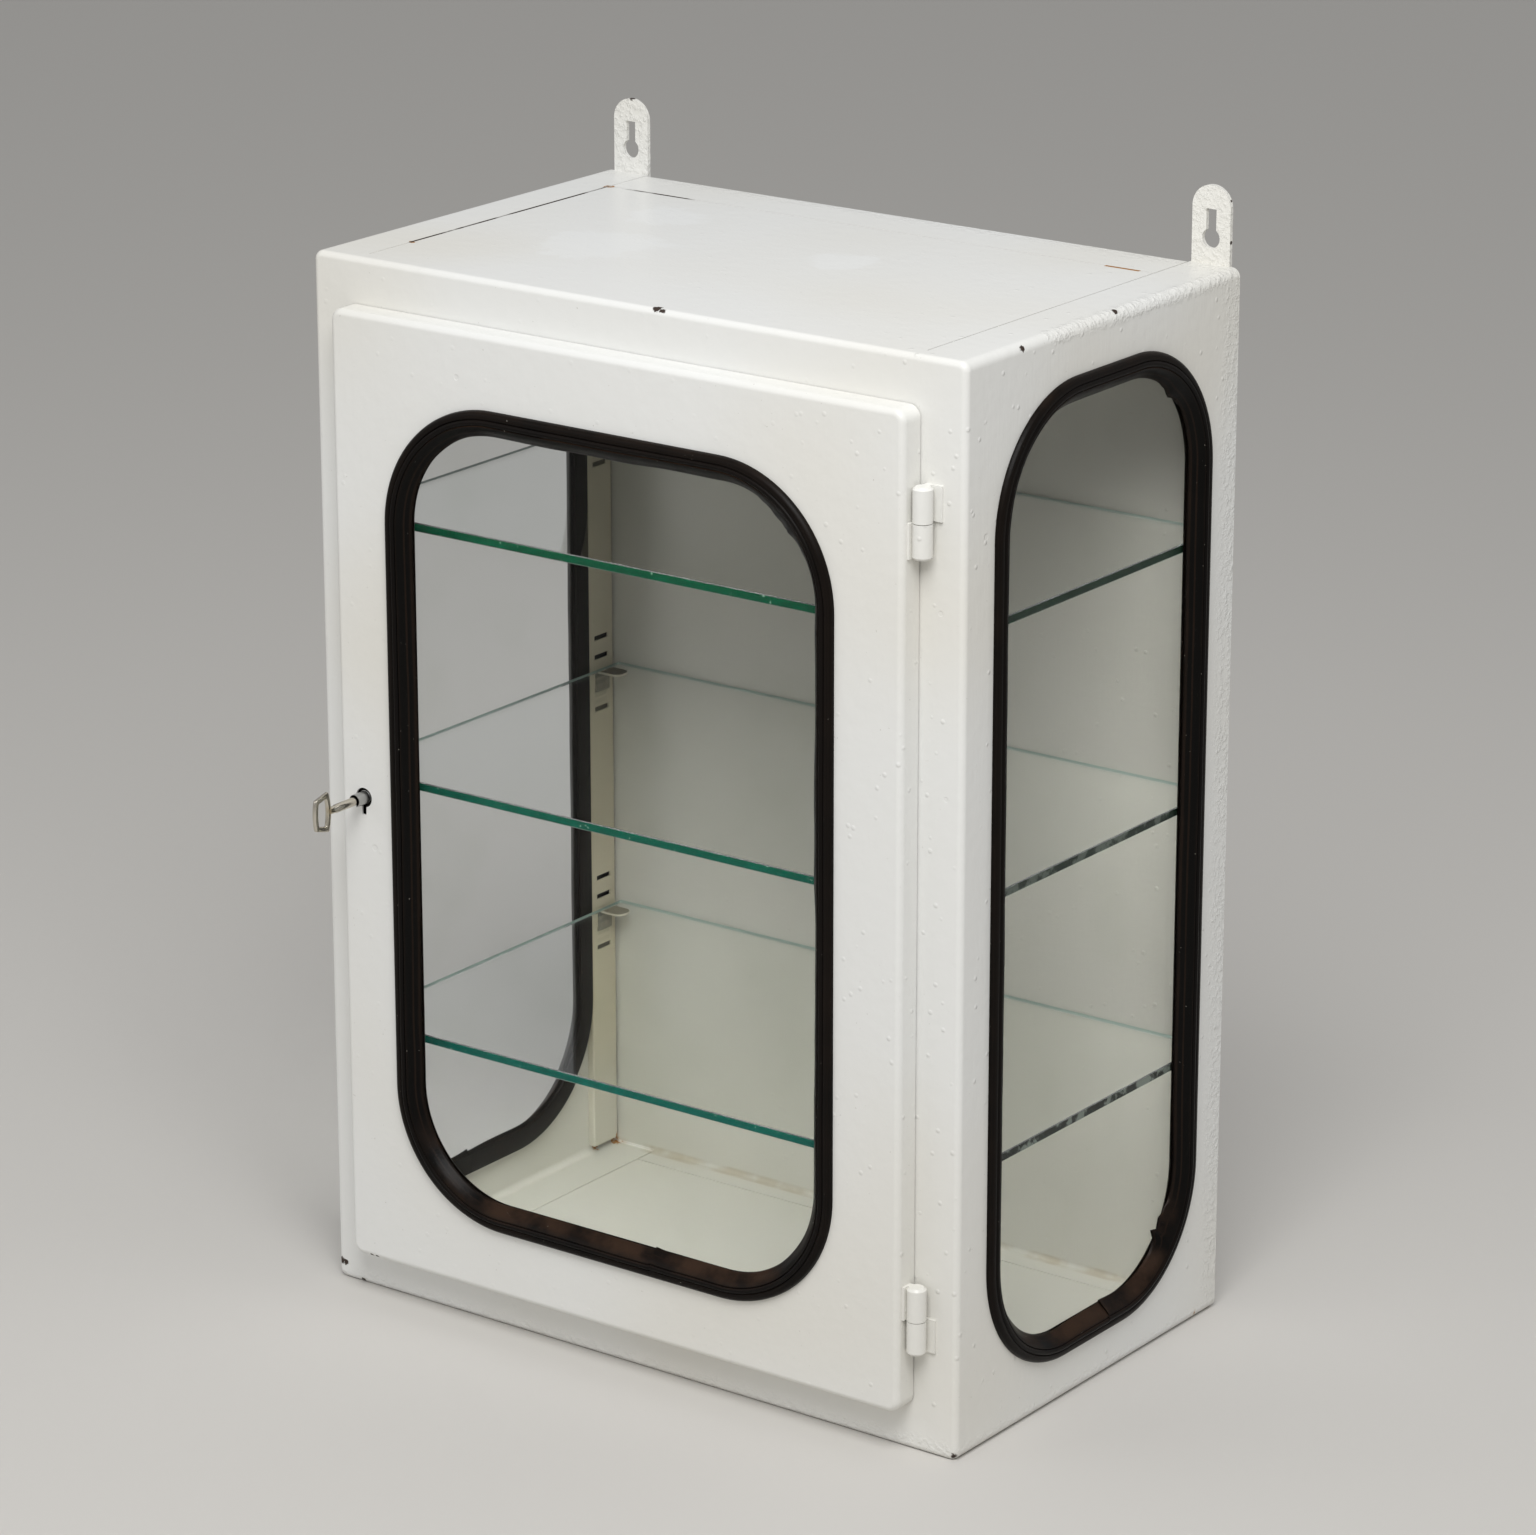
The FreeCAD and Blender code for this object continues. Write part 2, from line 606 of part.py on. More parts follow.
def glaze(name, width, height, x, y, z, turn):
    """A pane, the rubber section that holds it in a sheet, and the strip that locks the rubber."""
    half_wide = "((%s) / 2)" % width
    half_high = "((%s) / 2)" % height
    edge = ("-" + half_wide, half_wide, "-" + half_high, half_high, "window_radius")
    pane_inset = "-gasket_grip - gasket_web - fit_gap"
    pane = new_body(name + "_glass")
    pane_sketch = sketch_on(pane, "XZ", "glass_setback")
    rounded_rectangle(pane_sketch, *grown(edge, pane_inset))
    pad(pane, pane_sketch, "pane_thickness")
    web = "gasket_grip + gasket_web"
    pane_rear = "-glass_setback - pane_thickness"
    strip_end = "strip_start + strip_width"
    groove = "gasket_crown - strip_depth"
    gasket_section = [
        ("0", "0"), ("0.2 * strip_start", "0.7 * gasket_crown"), ("strip_start", "gasket_crown"),
        ("strip_start", groove), (strip_end, groove), (strip_end, "gasket_crown"),
        ("gasket_width", "lip_edge - glass_setback"), ("gasket_width", "-glass_setback"), (web, "-glass_setback"),
        (web, pane_rear), ("gasket_width - lip_edge", pane_rear), ("gasket_width - 2 * lip_edge", "-gasket_rear"),
        ("4 * lip_edge", "-gasket_rear"), ("lip_edge", "-sheet"),
        ("gasket_grip + fit_gap", "-sheet"), ("gasket_grip + fit_gap", "0"),
    ]
    strip_section = [
        ("strip_start", groove), (strip_end, groove), (strip_end, "gasket_crown"),
        ("strip_start + 0.5 * strip_width", "gasket_crown + strip_crown"), ("strip_start", "gasket_crown"),
    ]
    pieces = [pane]
    for kind, section in (("_gasket", gasket_section), ("_gasket_strip", strip_section)):
        rubber = new_body(name + kind)
        path = sketch_on(rubber, "XZ")
        rounded_rectangle(path, *edge)
        profile = sketch_on(rubber, "YZ")
        outline(profile, [("-(%s)" % out, "(%s) - %s" % (along, half_high)) for along, out in section])
        swept = rubber.newObject("PartDesign::AdditivePipe", rubber.Name + "_swept")
        swept.Profile = profile
        swept.Spine = path
        doc.recompute()
        pieces.append(rubber)
    for piece in pieces:
        place(piece, x, y, z, turn)


glaze("door", "%s - %s" % (WINDOW_RIGHT, WINDOW_LEFT), "%s - %s" % (WINDOW_HIGH, WINDOW_LOW),
      "(%s + %s) / 2" % (WINDOW_LEFT, WINDOW_RIGHT), DOOR_FRONT, "(%s + %s) / 2" % (WINDOW_LOW, WINDOW_HIGH), 0.0)
for side, sign in SIDES.items():
    glaze(side + "_side", "body_depth - 2 * side_window_margin", "body_height - 2 * side_window_margin",
          flip(sign, HALF_WIDTH), "0", "body_height / 2", sign * 90.0)


def knuckle(name, low, up, leaf, neck, bore):
    """A hinge barrel, closed at its far end, with a leaf; up is the way from its running face to that end."""
    body = new_body(name)
    barrel = sketch_on(body, "XZ")
    running, far = ("0", "knuckle_length") if up > 0 else ("knuckle_length", "0")
    roof = far + " - %d * barrel_cap" % up
    outline(barrel, [
        (bore, running), ("barrel_radius", running), ("barrel_radius", far + " - %d * barrel_chamfer" % up),
        ("barrel_radius - barrel_chamfer", far), ("0", far), ("0", roof), (bore, roof),
    ])
    revolve(body, barrel)
    for left, right, near, away in (leaf, neck):
        plate = sketch_on(body, "XY")
        rectangle(plate, left, right, near, away)
        pad(body, plate, "knuckle_length")
    hole = sketch_on(body, "XY", roof)
    circle(hole, "0", "0", bore)
    pocket(body, hole, "knuckle_length", toward=-up)
    place(body, HINGE_X, HINGE_Y, low)
    return body


# Hinges: the frame's knuckles hold the pins, the door's knuckles turn on them
FRAME_FACE = "(barrel_radius + barrel_face_gap)"
DOOR_FACE = "(-barrel_radius - barrel_side_gap)"
FRAME_LEAF = ("-leaf_neck", "frame_leaf_reach", FRAME_FACE + " - leaf_thickness", FRAME_FACE)
FRAME_NECK = ("-leaf_neck", "leaf_neck", "0", FRAME_FACE)
DOOR_LEAF = (DOOR_FACE, DOOR_FACE + " + leaf_thickness", "-door_leaf_reach", "leaf_neck")
DOOR_NECK = (DOOR_FACE, "0", "-leaf_neck", "leaf_neck")
HINGES = {
    "upper": ("(%s - hinge_top_inset)" % DOOR_TOP, 1),
    "lower": ("(%s + hinge_bottom_inset)" % DOOR_BOTTOM, -1),
}
for hinge, (split, frame_way) in HINGES.items():
    above = "%s + knuckle_gap / 2" % split
    below = "%s - knuckle_gap / 2 - knuckle_length" % split
    frame_low, door_low = (above, below) if frame_way > 0 else (below, above)
    knuckle(hinge + "_hinge_frame_knuckle", frame_low, frame_way, FRAME_LEAF, FRAME_NECK, "pin_radius")
    knuckle(hinge + "_hinge_door_knuckle", door_low, -frame_way, DOOR_LEAF, DOOR_NECK,
            "pin_radius + pin_clearance")
    pin = new_body(hinge + "_hinge_pin")
    end_face = sketch_on(pin, "XY")
    circle(end_face, "0", "0", "pin_radius")
    pad(pin, end_face, "2 * knuckle_length + knuckle_gap - 2 * barrel_cap - fit_gap")
    pin_low = "%s - knuckle_length - knuckle_gap / 2 + barrel_cap" % split
    place(pin, HINGE_X, HINGE_Y, pin_low + " + fit_gap" if frame_way > 0 else pin_low)

# Lock case: box behind the door skin, open at the rear
lock_case = new_body("lock_case")
case_face = sketch_on(lock_case, "XZ", CASE_FRONT)
rectangle(case_face, CASE_LEFT, CASE_RIGHT, CASE_BOTTOM, CASE_TOP)
pad(lock_case, case_face, "case_depth")
case_mouth = sketch_on(lock_case, "XZ", CASE_REAR)
rectangle(case_mouth, CASE_LEFT + " + case_wall", CASE_RIGHT + " - case_wall",
          CASE_BOTTOM + " + case_wall", CASE_TOP + " - case_wall")
pocket(lock_case, case_mouth, "case_depth - case_wall", toward=-1)
CASE_MIDDLE = "((%s + %s) / 2)" % (CASE_LEFT, CASE_RIGHT)
SCREW_LEVELS = (CASE_BOTTOM + " + boss_inset", CASE_TOP + " - boss_inset")
bosses = sketch_on(lock_case, "XZ", CASE_FRONT)
for level in SCREW_LEVELS:
    circle(bosses, CASE_MIDDLE, level, "boss_radius")
pad(lock_case, bosses, "case_depth")
taps = sketch_on(lock_case, "XZ", CASE_REAR)
for level in SCREW_LEVELS:
    circle(taps, CASE_MIDDLE, level, "screw_radius")
pocket(lock_case, taps, "case_depth / 2", toward=-1)
sleeve_hole = sketch_on(lock_case, "XZ", CASE_FRONT)
circle(sleeve_hole, LOCK_X, LOCK_Z, "sleeve_radius")
pocket(lock_case, sleeve_hole, "2 * case_wall")
bit_way = sketch_on(lock_case, "XZ", CASE_FRONT)
rectangle(bit_way, LOCK_X + " - sleeve_slot / 2", LOCK_X + " + sleeve_slot / 2", LOCK_Z + " - keyslot_drop", LOCK_Z)
pocket(lock_case, bit_way, "2 * case_wall")
bolt_way = sketch_on(lock_case, "YZ", CASE_LEFT)
rectangle(bolt_way, BOLT_FRONT + " - bolt_clearance", BOLT_FRONT + " + bolt_thickness + bolt_clearance",
          BOLT_BOTTOM + " - bolt_clearance", BOLT_TOP + " + bolt_clearance")
pocket(lock_case, bolt_way, "2 * case_wall", toward=1)

# Lock cover with the post that guides the pipe key
lock_cover = new_body("lock_cover")
cover_face = sketch_on(lock_cover, "XZ", CASE_REAR)
rectangle(cover_face, CASE_LEFT, CASE_RIGHT, CASE_BOTTOM, CASE_TOP)
pad(lock_cover, cover_face, "cover_thickness")
cover_holes = sketch_on(lock_cover, "XZ", CASE_REAR)
for level in SCREW_LEVELS:
    circle(cover_holes, CASE_MIDDLE, level, "screw_radius + fit_gap")
pocket(lock_cover, cover_holes, "2 * cover_thickness")
lock_post = new_body("lock_post")
post_end = sketch_on(lock_post, "XZ", CASE_REAR)
circle(post_end, LOCK_X, LOCK_Z, "post_radius")
pad(lock_post, post_end, "post_length", toward=-1)

# Cover screws, one group
screws = []
for index, level in enumerate(SCREW_LEVELS):
    screw = doc.addObject("PartDesign::Body", "cover_screw_%d" % index)
    shank = sketch_on(screw, "XZ", CASE_REAR + " + cover_thickness")
    circle(shank, CASE_MIDDLE, level, "screw_radius")
    pad(screw, shank, "case_depth / 3", toward=-1)
    head = sketch_on(screw, "XZ", CASE_REAR + " + cover_thickness")
    circle(head, CASE_MIDDLE, level, "screw_head_radius")
    pad(screw, head, "screw_head_height")
    screws.append(screw)
cover_screws = doc.addObject("Part::Compound", "lock_cover_screws")
cover_screws.Label = "lock_cover_screws"
cover_screws.Links = screws
nodes.append(cover_screws)

# Sleeve: slotted tube that leads the key into the case
lock_sleeve = new_body("lock_sleeve")
SLEEVE_FRONT = "(%s - sleeve_proud)" % DOOR_FRONT
SLEEVE_LENGTH = "(sleeve_proud + sheet + case_depth - key_tip_gap - bit_length - 2 * key_tip_gap)"
tube = sketch_on(lock_sleeve, "XZ", SLEEVE_FRONT)
circle(tube, LOCK_X, LOCK_Z, "sleeve_radius")
circle(tube, LOCK_X, LOCK_Z, "key_radius + key_clearance")
pad(lock_sleeve, tube, SLEEVE_LENGTH)
slit = sketch_on(lock_sleeve, "XZ", SLEEVE_FRONT)
rectangle(slit, LOCK_X + " - sleeve_slot / 2", LOCK_X + " + sleeve_slot / 2", LOCK_Z + " - 2 * sleeve_radius", LOCK_Z)
pocket(lock_sleeve, slit, SLEEVE_LENGTH)

# Bolt: plate with two talons that the key's bit passes between, and the leaf spring above it
lock_bolt = new_body("lock_bolt")
BOLT_LEFT = "(%s + bolt_clearance)" % CASE_LEFT
BOLT_RIGHT = "(%s - case_wall - 2 * bolt_clearance)" % CASE_RIGHT
NOTCH_LEFT = "(%s + bolt_head)" % BOLT_LEFT
NOTCH_RIGHT = "(2 * %s - %s + bolt_throw)" % (LOCK_X, NOTCH_LEFT)
bolt_plate = sketch_on(lock_bolt, "XZ", BOLT_FRONT)
outline(bolt_plate, [
    (BOLT_LEFT, BOLT_BOTTOM), (NOTCH_LEFT, BOLT_BOTTOM), (NOTCH_LEFT, BOLT_BOTTOM + " + bolt_notch"),
    (NOTCH_RIGHT, BOLT_BOTTOM + " + bolt_notch"), (NOTCH_RIGHT, BOLT_BOTTOM), (BOLT_RIGHT, BOLT_BOTTOM),
    (BOLT_RIGHT, BOLT_TOP), (BOLT_LEFT, BOLT_TOP),
])
pad(lock_bolt, bolt_plate, "bolt_thickness")
lock_bolt_spring = new_body("lock_bolt_spring")
leaf_spring = sketch_on(lock_bolt_spring, "XZ", BOLT_FRONT)
SPRING_LEFT = CASE_LEFT + " + 2 * case_wall"
SPRING_RIGHT = CASE_RIGHT + " - 2 * case_wall"
SPRING_TOP = CASE_TOP + " - case_wall"
SPRING_SAG = BOLT_TOP + " + bolt_clearance"
outline(leaf_spring, [
    (SPRING_LEFT, SPRING_TOP), (SPRING_LEFT + " + case_width / 4", SPRING_SAG),
    (SPRING_RIGHT + " - case_width / 4", SPRING_SAG), (SPRING_RIGHT, SPRING_TOP),
    (SPRING_RIGHT + " - 2 * spring_thickness", SPRING_TOP),
    (SPRING_RIGHT + " - case_width / 4 - spring_thickness", SPRING_SAG + " + spring_thickness"),
    (SPRING_LEFT + " + case_width / 4 + spring_thickness", SPRING_SAG + " + spring_thickness"),
    (SPRING_LEFT + " + 2 * spring_thickness", SPRING_TOP),
])
pad(lock_bolt_spring, leaf_spring, "bolt_thickness")

# Key: hollow shank, bit and flat bow
key = new_body("key")
KEY_TIP = "(%s - key_tip_gap)" % CASE_REAR
KEY_SHOULDER = "(%s - key_shoulder)" % DOOR_FRONT
BOW_START = "(%s - key_bow_start)" % DOOR_FRONT
BOW_END = "(%s - bow_length)" % BOW_START
shank = sketch_on(key, "XY")
outline(shank, [
    ("key_bore_radius", KEY_TIP), ("key_radius", KEY_TIP), ("key_radius", KEY_SHOULDER),
    ("key_neck_radius", KEY_SHOULDER + " - key_radius"), ("key_neck_radius", BOW_START + " - bow_rim / 2"),
    ("0", BOW_START + " - bow_rim / 2"), ("0", KEY_TIP + " - key_bore_depth"),
    ("key_bore_radius", KEY_TIP + " - key_bore_depth"),
])
revolve(key, shank)
bit = sketch_on(key, "XZ", KEY_TIP + " - key_tip_gap - bit_length")
rectangle(bit, "-bit_thickness / 2", "bit_thickness / 2", "-bit_reach", "-(key_radius + key_bore_radius) / 2")
pad(key, bit, "bit_length")
bow = sketch_on(key, "YZ", "-bow_thickness / 2")
for inset in ("0", "bow_rim"):
    near = "%s - bow_bulge - (%s)" % (BOW_START, inset)
    far = "%s + bow_bulge / 2 + (%s)" % (BOW_END, inset)
    near_half = "(bow_inner_height / 2 - (%s))" % inset
    far_half = "(bow_outer_height / 2 - (%s))" % inset
    outline(bow, [(near, near_half), (far, far_half), (far, "-" + far_half), (near, "-" + near_half)], {
        1: (far + " - bow_bulge / 2", "0"),
        3: (near + " + bow_bulge", "0"),
    })
pad(key, bow, "bow_thickness")
place(key, LOCK_X, "0", LOCK_Z)

# Check every feature, then write one file for each sub-part
doc.recompute()
faults = [item.Name for item in doc.Objects if "Invalid" in item.State or "Error" in item.State]
faults += [node.Label for node in nodes if node.Shape.isNull() or not node.Shape.isValid()]
if faults:
    raise RuntimeError("not built: " + ", ".join(faults))
os.makedirs("parts", exist_ok=True)
for node in nodes:
    node.Shape.exportStep("parts/%s.step" % node.Label)
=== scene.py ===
import json
import math

import bpy
from mathutils import Matrix, Vector, noise


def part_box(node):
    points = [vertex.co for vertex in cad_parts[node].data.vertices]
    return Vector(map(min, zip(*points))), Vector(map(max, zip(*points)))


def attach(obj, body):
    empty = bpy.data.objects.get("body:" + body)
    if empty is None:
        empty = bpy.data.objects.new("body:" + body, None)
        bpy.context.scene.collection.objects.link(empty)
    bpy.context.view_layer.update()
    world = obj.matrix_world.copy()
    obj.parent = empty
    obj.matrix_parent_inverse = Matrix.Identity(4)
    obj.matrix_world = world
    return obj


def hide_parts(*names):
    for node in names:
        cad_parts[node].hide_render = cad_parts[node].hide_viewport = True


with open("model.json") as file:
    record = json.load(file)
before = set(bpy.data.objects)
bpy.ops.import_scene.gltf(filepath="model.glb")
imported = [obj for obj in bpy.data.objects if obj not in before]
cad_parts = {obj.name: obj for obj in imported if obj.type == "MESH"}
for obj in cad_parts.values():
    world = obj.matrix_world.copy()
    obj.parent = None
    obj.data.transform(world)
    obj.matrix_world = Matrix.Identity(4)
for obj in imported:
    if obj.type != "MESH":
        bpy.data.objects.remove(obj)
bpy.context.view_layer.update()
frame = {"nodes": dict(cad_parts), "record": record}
nodes = frame["nodes"]

MM = 0.001

# The rubber and its locking strip in section, in millimetres: in from the outer edge, and out from the sheet
GASKET_SECTION = [
    (0.0, 0.0), (0.1, 1.2), (0.5, 2.4), (1.3, 3.4), (2.5, 4.0), (3.9, 4.2), (4.9, 4.1), (5.4, 3.6),
    (5.5, 2.2), (9.1, 2.2), (9.2, 3.4), (9.7, 3.9), (10.6, 3.6), (13.4, 0.7), (16.4, -3.0), (17.3, -4.0),
    (17.4, -4.95), (10.5, -4.95), (10.5, -8.05), (16.6, -8.05), (15.9, -9.2), (3.2, -9.2), (1.6, -8.2),
    (0.8, -1.25), (7.2, -1.25), (7.2, 0.0),
]
STRIP_SECTION = [(5.6, 2.3), (9.0, 2.3), (9.0, 3.8), (8.3, 4.5), (7.3, 4.75), (6.3, 4.5), (5.6, 3.8)]
# How far the rubber stands out from the sheet, its width, and how deep the pane lies in it
CROWN = 4.2 * MM
RUBBER_WIDTH = 17.5 * MM
PANE_DEPTH = 5.2 * MM
# The windows' corners, and how finely the rubber is divided
WINDOW_RADIUS = 86 * MM
CORNER_STEPS = 28
SIDE_STEPS = 30
JOINT_GAP = 0.2 * MM

# Where the paint has come off the steel: centre and size in millimetres
CHIPS = [
    ((21, -147, 700), 3.6), ((26, -149, 699.6), 2.6), ((250, -91, 697), 2.8), ((247.6, 12, 699.2), 2.4),
    ((-247.5, -150, 11), 2.8), ((-243.5, -150, 11), 2.3), ((-206, -167, 31), 1.8), ((-201.5, -167, 31), 1.8),
    ((-229, -150, 1), 2.6), ((249, -150, 3), 3.2), ((-228, 152, 749.6), 2.6), ((240.5, 152, 741), 1.2),
    ((242, 151.5, 715), 1.4), ((-242, 152, 728), 1.6),
]
# Rust that has crept out of seams and corners: centre and reach in millimetres
RUST = [
    ((-213, 107, 700), 4.0), ((-213, -96, 700), 3.0), ((-244, 146, 4), 5.0), ((244, 146, 4), 5.0),
    ((-247, 125, 5), 4.0), ((247, 125, 5), 4.0),
]
# Patches touched up with a whiter paint: centre and reach in millimetres
TOUCHED_UP = [((-111, -33, 700), 46.0), ((-130, 60, 700), 30.0), ((40, 20, 700), 24.0)]
# Craters in the paint: centre and size in millimetres
PITS = [
    ((-194.7, -168, 317.4), 2.4), ((233, -150, 545), 2.0), ((250, -128, 590), 2.2), ((238, -150, 430), 1.8),
    ((-120, -168, 640), 2.0),
]


def srgb(code):
    """A hex colour as the linear values that shaders take."""
    parts = [int(code[place:place + 2], 16) / 255 for place in (1, 3, 5)]
    return tuple(p / 12.92 if p <= 0.04045 else ((p + 0.055) / 1.055) ** 2.4 for p in parts) + (1.0,)


def add(tree, kind, feeds, out=0, **settings):
    """Add a node with its settings, set or connect what feeds it, and give back one of its outputs."""
    made = tree.nodes.new(kind)
    for name, setting in settings.items():
        setattr(made, name, setting)
    for socket, feed in feeds.items():
        if isinstance(feed, bpy.types.NodeSocket):
            tree.links.new(feed, made.inputs[socket])
        else:
            made.inputs[socket].default_value = feed
    return made.outputs[out] if made.outputs else None


def new_material(name):
    """A bare material: itself, its nodes, its shader and the place on the piece."""
    made = bpy.data.materials.new(name)
    made.use_nodes = True
    tree = made.node_tree
    tree.nodes.clear()
    shader = tree.nodes.new("ShaderNodeBsdfPrincipled")
    add(tree, "ShaderNodeOutputMaterial", {"Surface": shader.outputs["BSDF"]})
    return made, tree, shader, add(tree, "ShaderNodeTexCoord", {}, "Object")


def slab(tree, place, low, high, near_mm, far_mm):
    """1 in a box given in millimetres and up to near_mm off it, 0 from far_mm on."""
    middle = [(a + b) / 2 * MM for a, b in zip(low, high)]
    half = [(b - a) / 2 * MM for a, b in zip(low, high)]
    from_middle = add(tree, "ShaderNodeVectorMath", {0: place, 1: middle}, operation="SUBTRACT")
    apart = add(tree, "ShaderNodeVectorMath", {0: from_middle}, operation="ABSOLUTE")
    past = add(tree, "ShaderNodeVectorMath", {0: apart, 1: half}, operation="SUBTRACT")
    beyond = add(tree, "ShaderNodeVectorMath", {0: past, 1: (0, 0, 0)}, operation="MAXIMUM")
    gap = add(tree, "ShaderNodeVectorMath", {0: beyond}, "Value", operation="LENGTH")
    return add(tree, "ShaderNodeMapRange", {"Value": gap, "From Min": far_mm * MM, "From Max": near_mm * MM},
               interpolation_type="SMOOTHSTEP")


def marks(tree, place, ragged, spots):
    """1 on every spot of a list of centres and sizes in millimetres, with an edge that a noise makes ragged."""
    mask = 0.0
    for centre, size_mm in spots:
        reach = size_mm * MM
        middle = [v * MM for v in centre]
        apart = add(tree, "ShaderNodeVectorMath", {0: place, 1: middle}, "Value", operation="DISTANCE")
        uneven = add(tree, "ShaderNodeMath", {0: ragged, 1: 1.6 * reach, 2: apart}, operation="MULTIPLY_ADD")
        spot = add(tree, "ShaderNodeMapRange", {"Value": uneven, "From Min": 1.8 * reach, "From Max": 1.5 * reach},
                   interpolation_type="SMOOTHSTEP")
        mask = add(tree, "ShaderNodeMath", {0: mask, 1: spot}, operation="MAXIMUM")
    return mask


def enamel(name, outside, inside):
    """Gloss enamel brushed over folded steel: off-white outside and creamier within, with soft lumps and brush
    ridges that break up the highlights, a faint yellowing, and dark chips and rust at seams and edges."""
    made, tree, shader, place = new_material(name)

    # Two coats: one on the outer skin and its folds, one on the inner faces, both yellowed in wide clouds
    within = slab(tree, place, (-245, -145, 5), (245, 145, 695), 4.3, 4.5)
    clouds = add(tree, "ShaderNodeTexNoise", {"Vector": place, "Scale": 1 / (240 * MM), "Detail": 1.0})
    fresh = add(tree, "ShaderNodeMix", {0: within, 6: srgb(outside), 7: srgb(inside)}, 2, data_type="RGBA")
    aged = add(tree, "ShaderNodeMix", {0: within, 6: srgb("#E1DED5"), 7: srgb("#C6C4B8")}, 2, data_type="RGBA")
    age = add(tree, "ShaderNodeMapRange", {"Value": clouds, "From Min": 0.4, "From Max": 0.8},
              interpolation_type="SMOOTHSTEP")
    paint = add(tree, "ShaderNodeMix", {0: age, 6: fresh, 7: aged}, 2, data_type="RGBA")

    # Whiter touching up on the top, worn to a ragged edge
    worn_edge = add(tree, "ShaderNodeTexNoise", {
        "Vector": place, "Scale": 1 / (30 * MM), "Detail": 4.0, "Roughness": 0.7})
    touched_up = marks(tree, place, worn_edge, TOUCHED_UP)
    cover = add(tree, "ShaderNodeMath", {0: touched_up, 1: 0.3}, operation="MULTIPLY")
    paint = add(tree, "ShaderNodeMix", {0: cover, 6: paint, 7: srgb("#F1F3F3")}, 2, data_type="RGBA")

    # Damp stains along the rear seam of the floor, and rust at seams and corners
    damp_seam = slab(tree, place, (-246, 144.5, 1), (246, 149, 3.5), 0, 2.5)
    damp_noise = add(tree, "ShaderNodeTexNoise", {"Vector": place, "Scale": 1 / (22 * MM), "Detail": 3.0})
    damp = add(tree, "ShaderNodeMapRange", {"Value": damp_noise, "From Min": 0.35, "From Max": 0.65, "To Max": 0.4},
               interpolation_type="SMOOTHSTEP")
    damp = add(tree, "ShaderNodeMath", {0: damp, 1: damp_seam}, operation="MULTIPLY")
    paint = add(tree, "ShaderNodeMix", {0: damp, 6: paint, 7: srgb("#9A8455")}, 2, data_type="RGBA")
    ragged = add(tree, "ShaderNodeTexNoise", {
        "Vector": place, "Scale": 1 / (3 * MM), "Detail": 3.0, "Roughness": 0.6})
    blotch_noise = add(tree, "ShaderNodeTexNoise", {"Vector": place, "Scale": 1 / (5 * MM), "Detail": 2.0})
    blotches = add(tree, "ShaderNodeMapRange", {"Value": blotch_noise, "From Min": 0.38, "From Max": 0.55},
                   interpolation_type="SMOOTHSTEP")
    rust = add(tree, "ShaderNodeMath", {0: marks(tree, place, ragged, RUST), 1: blotches}, operation="MULTIPLY")
    rust_seam = slab(tree, place, (178, 106.2, 698.4), (203, 108.2, 701), 0.1, 0.7)
    rust = add(tree, "ShaderNodeMath", {0: rust, 1: rust_seam}, operation="MAXIMUM")
    paint = add(tree, "ShaderNodeMix", {0: rust, 6: paint, 7: srgb("#A06A22")}, 2, data_type="RGBA")

    # Bare dark steel in the chips and where the paint has split along the seams of the top
    rear_seam = slab(tree, place, (-215, 106.4, 698.4), (-142, 108.4, 701), 0, 0.4)
    left_seam = slab(tree, place, (-214.6, -98, 698.4), (-212.8, 107, 701), 0, 0.4)
    seams = add(tree, "ShaderNodeMath", {0: rear_seam, 1: left_seam}, operation="MAXIMUM")
    split_noise = add(tree, "ShaderNodeTexNoise", {"Vector": place, "Scale": 1 / (34 * MM), "Detail": 3.0})
    split = add(tree, "ShaderNodeMapRange", {"Value": split_noise, "From Min": 0.36, "From Max": 0.5},
                interpolation_type="SMOOTHSTEP")
    split = add(tree, "ShaderNodeMath", {0: split, 1: seams}, operation="MULTIPLY")
    bare = add(tree, "ShaderNodeMath", {0: marks(tree, place, ragged, CHIPS), 1: split}, operation="MAXIMUM")
    paint = add(tree, "ShaderNodeMix", {0: bare, 6: paint, 7: srgb("#33251C")}, 2, data_type="RGBA")

    # Painted shade behind the slotted uprights, given as dark unpainted steel, which shows through their slots
    painted_shade_behind_uprights = 0.0
    for left, right in ((-250, -244.9), (244.9, 250)):
        for front, rear in ((-145, -120.6), (120.6, 145)):
            behind = slab(tree, place, (left, front, 7), (right, rear, 692.4), 0, 0.05)
            painted_shade_behind_uprights = add(tree, "ShaderNodeMath", {0: painted_shade_behind_uprights, 1: behind}, operation="MAXIMUM")
    painted_shade_behind_uprights = add(tree, "ShaderNodeMath", {0: painted_shade_behind_uprights, 1: within}, operation="MULTIPLY")
    paint = add(tree, "ShaderNodeMix", {0: painted_shade_behind_uprights, 6: paint, 7: srgb("#1F1A15")}, 2, data_type="RGBA")

    # Grey flecks of dirt, drawn at 2 mm because finer ones would not show
    fleck_noise = add(tree, "ShaderNodeTexNoise", {"Vector": place, "Scale": 1 / (2.2 * MM), "Detail": 1.0})
    flecks = add(tree, "ShaderNodeMapRange", {
        "Value": fleck_noise, "From Min": 0.79, "From Max": 0.82, "To Max": 0.35}, interpolation_type="SMOOTHSTEP")
    paint = add(tree, "ShaderNodeMix", {0: flecks, 6: paint, 7: srgb("#8C8676")}, 2, data_type="RGBA")
    tree.links.new(paint, shader.inputs["Base Color"])

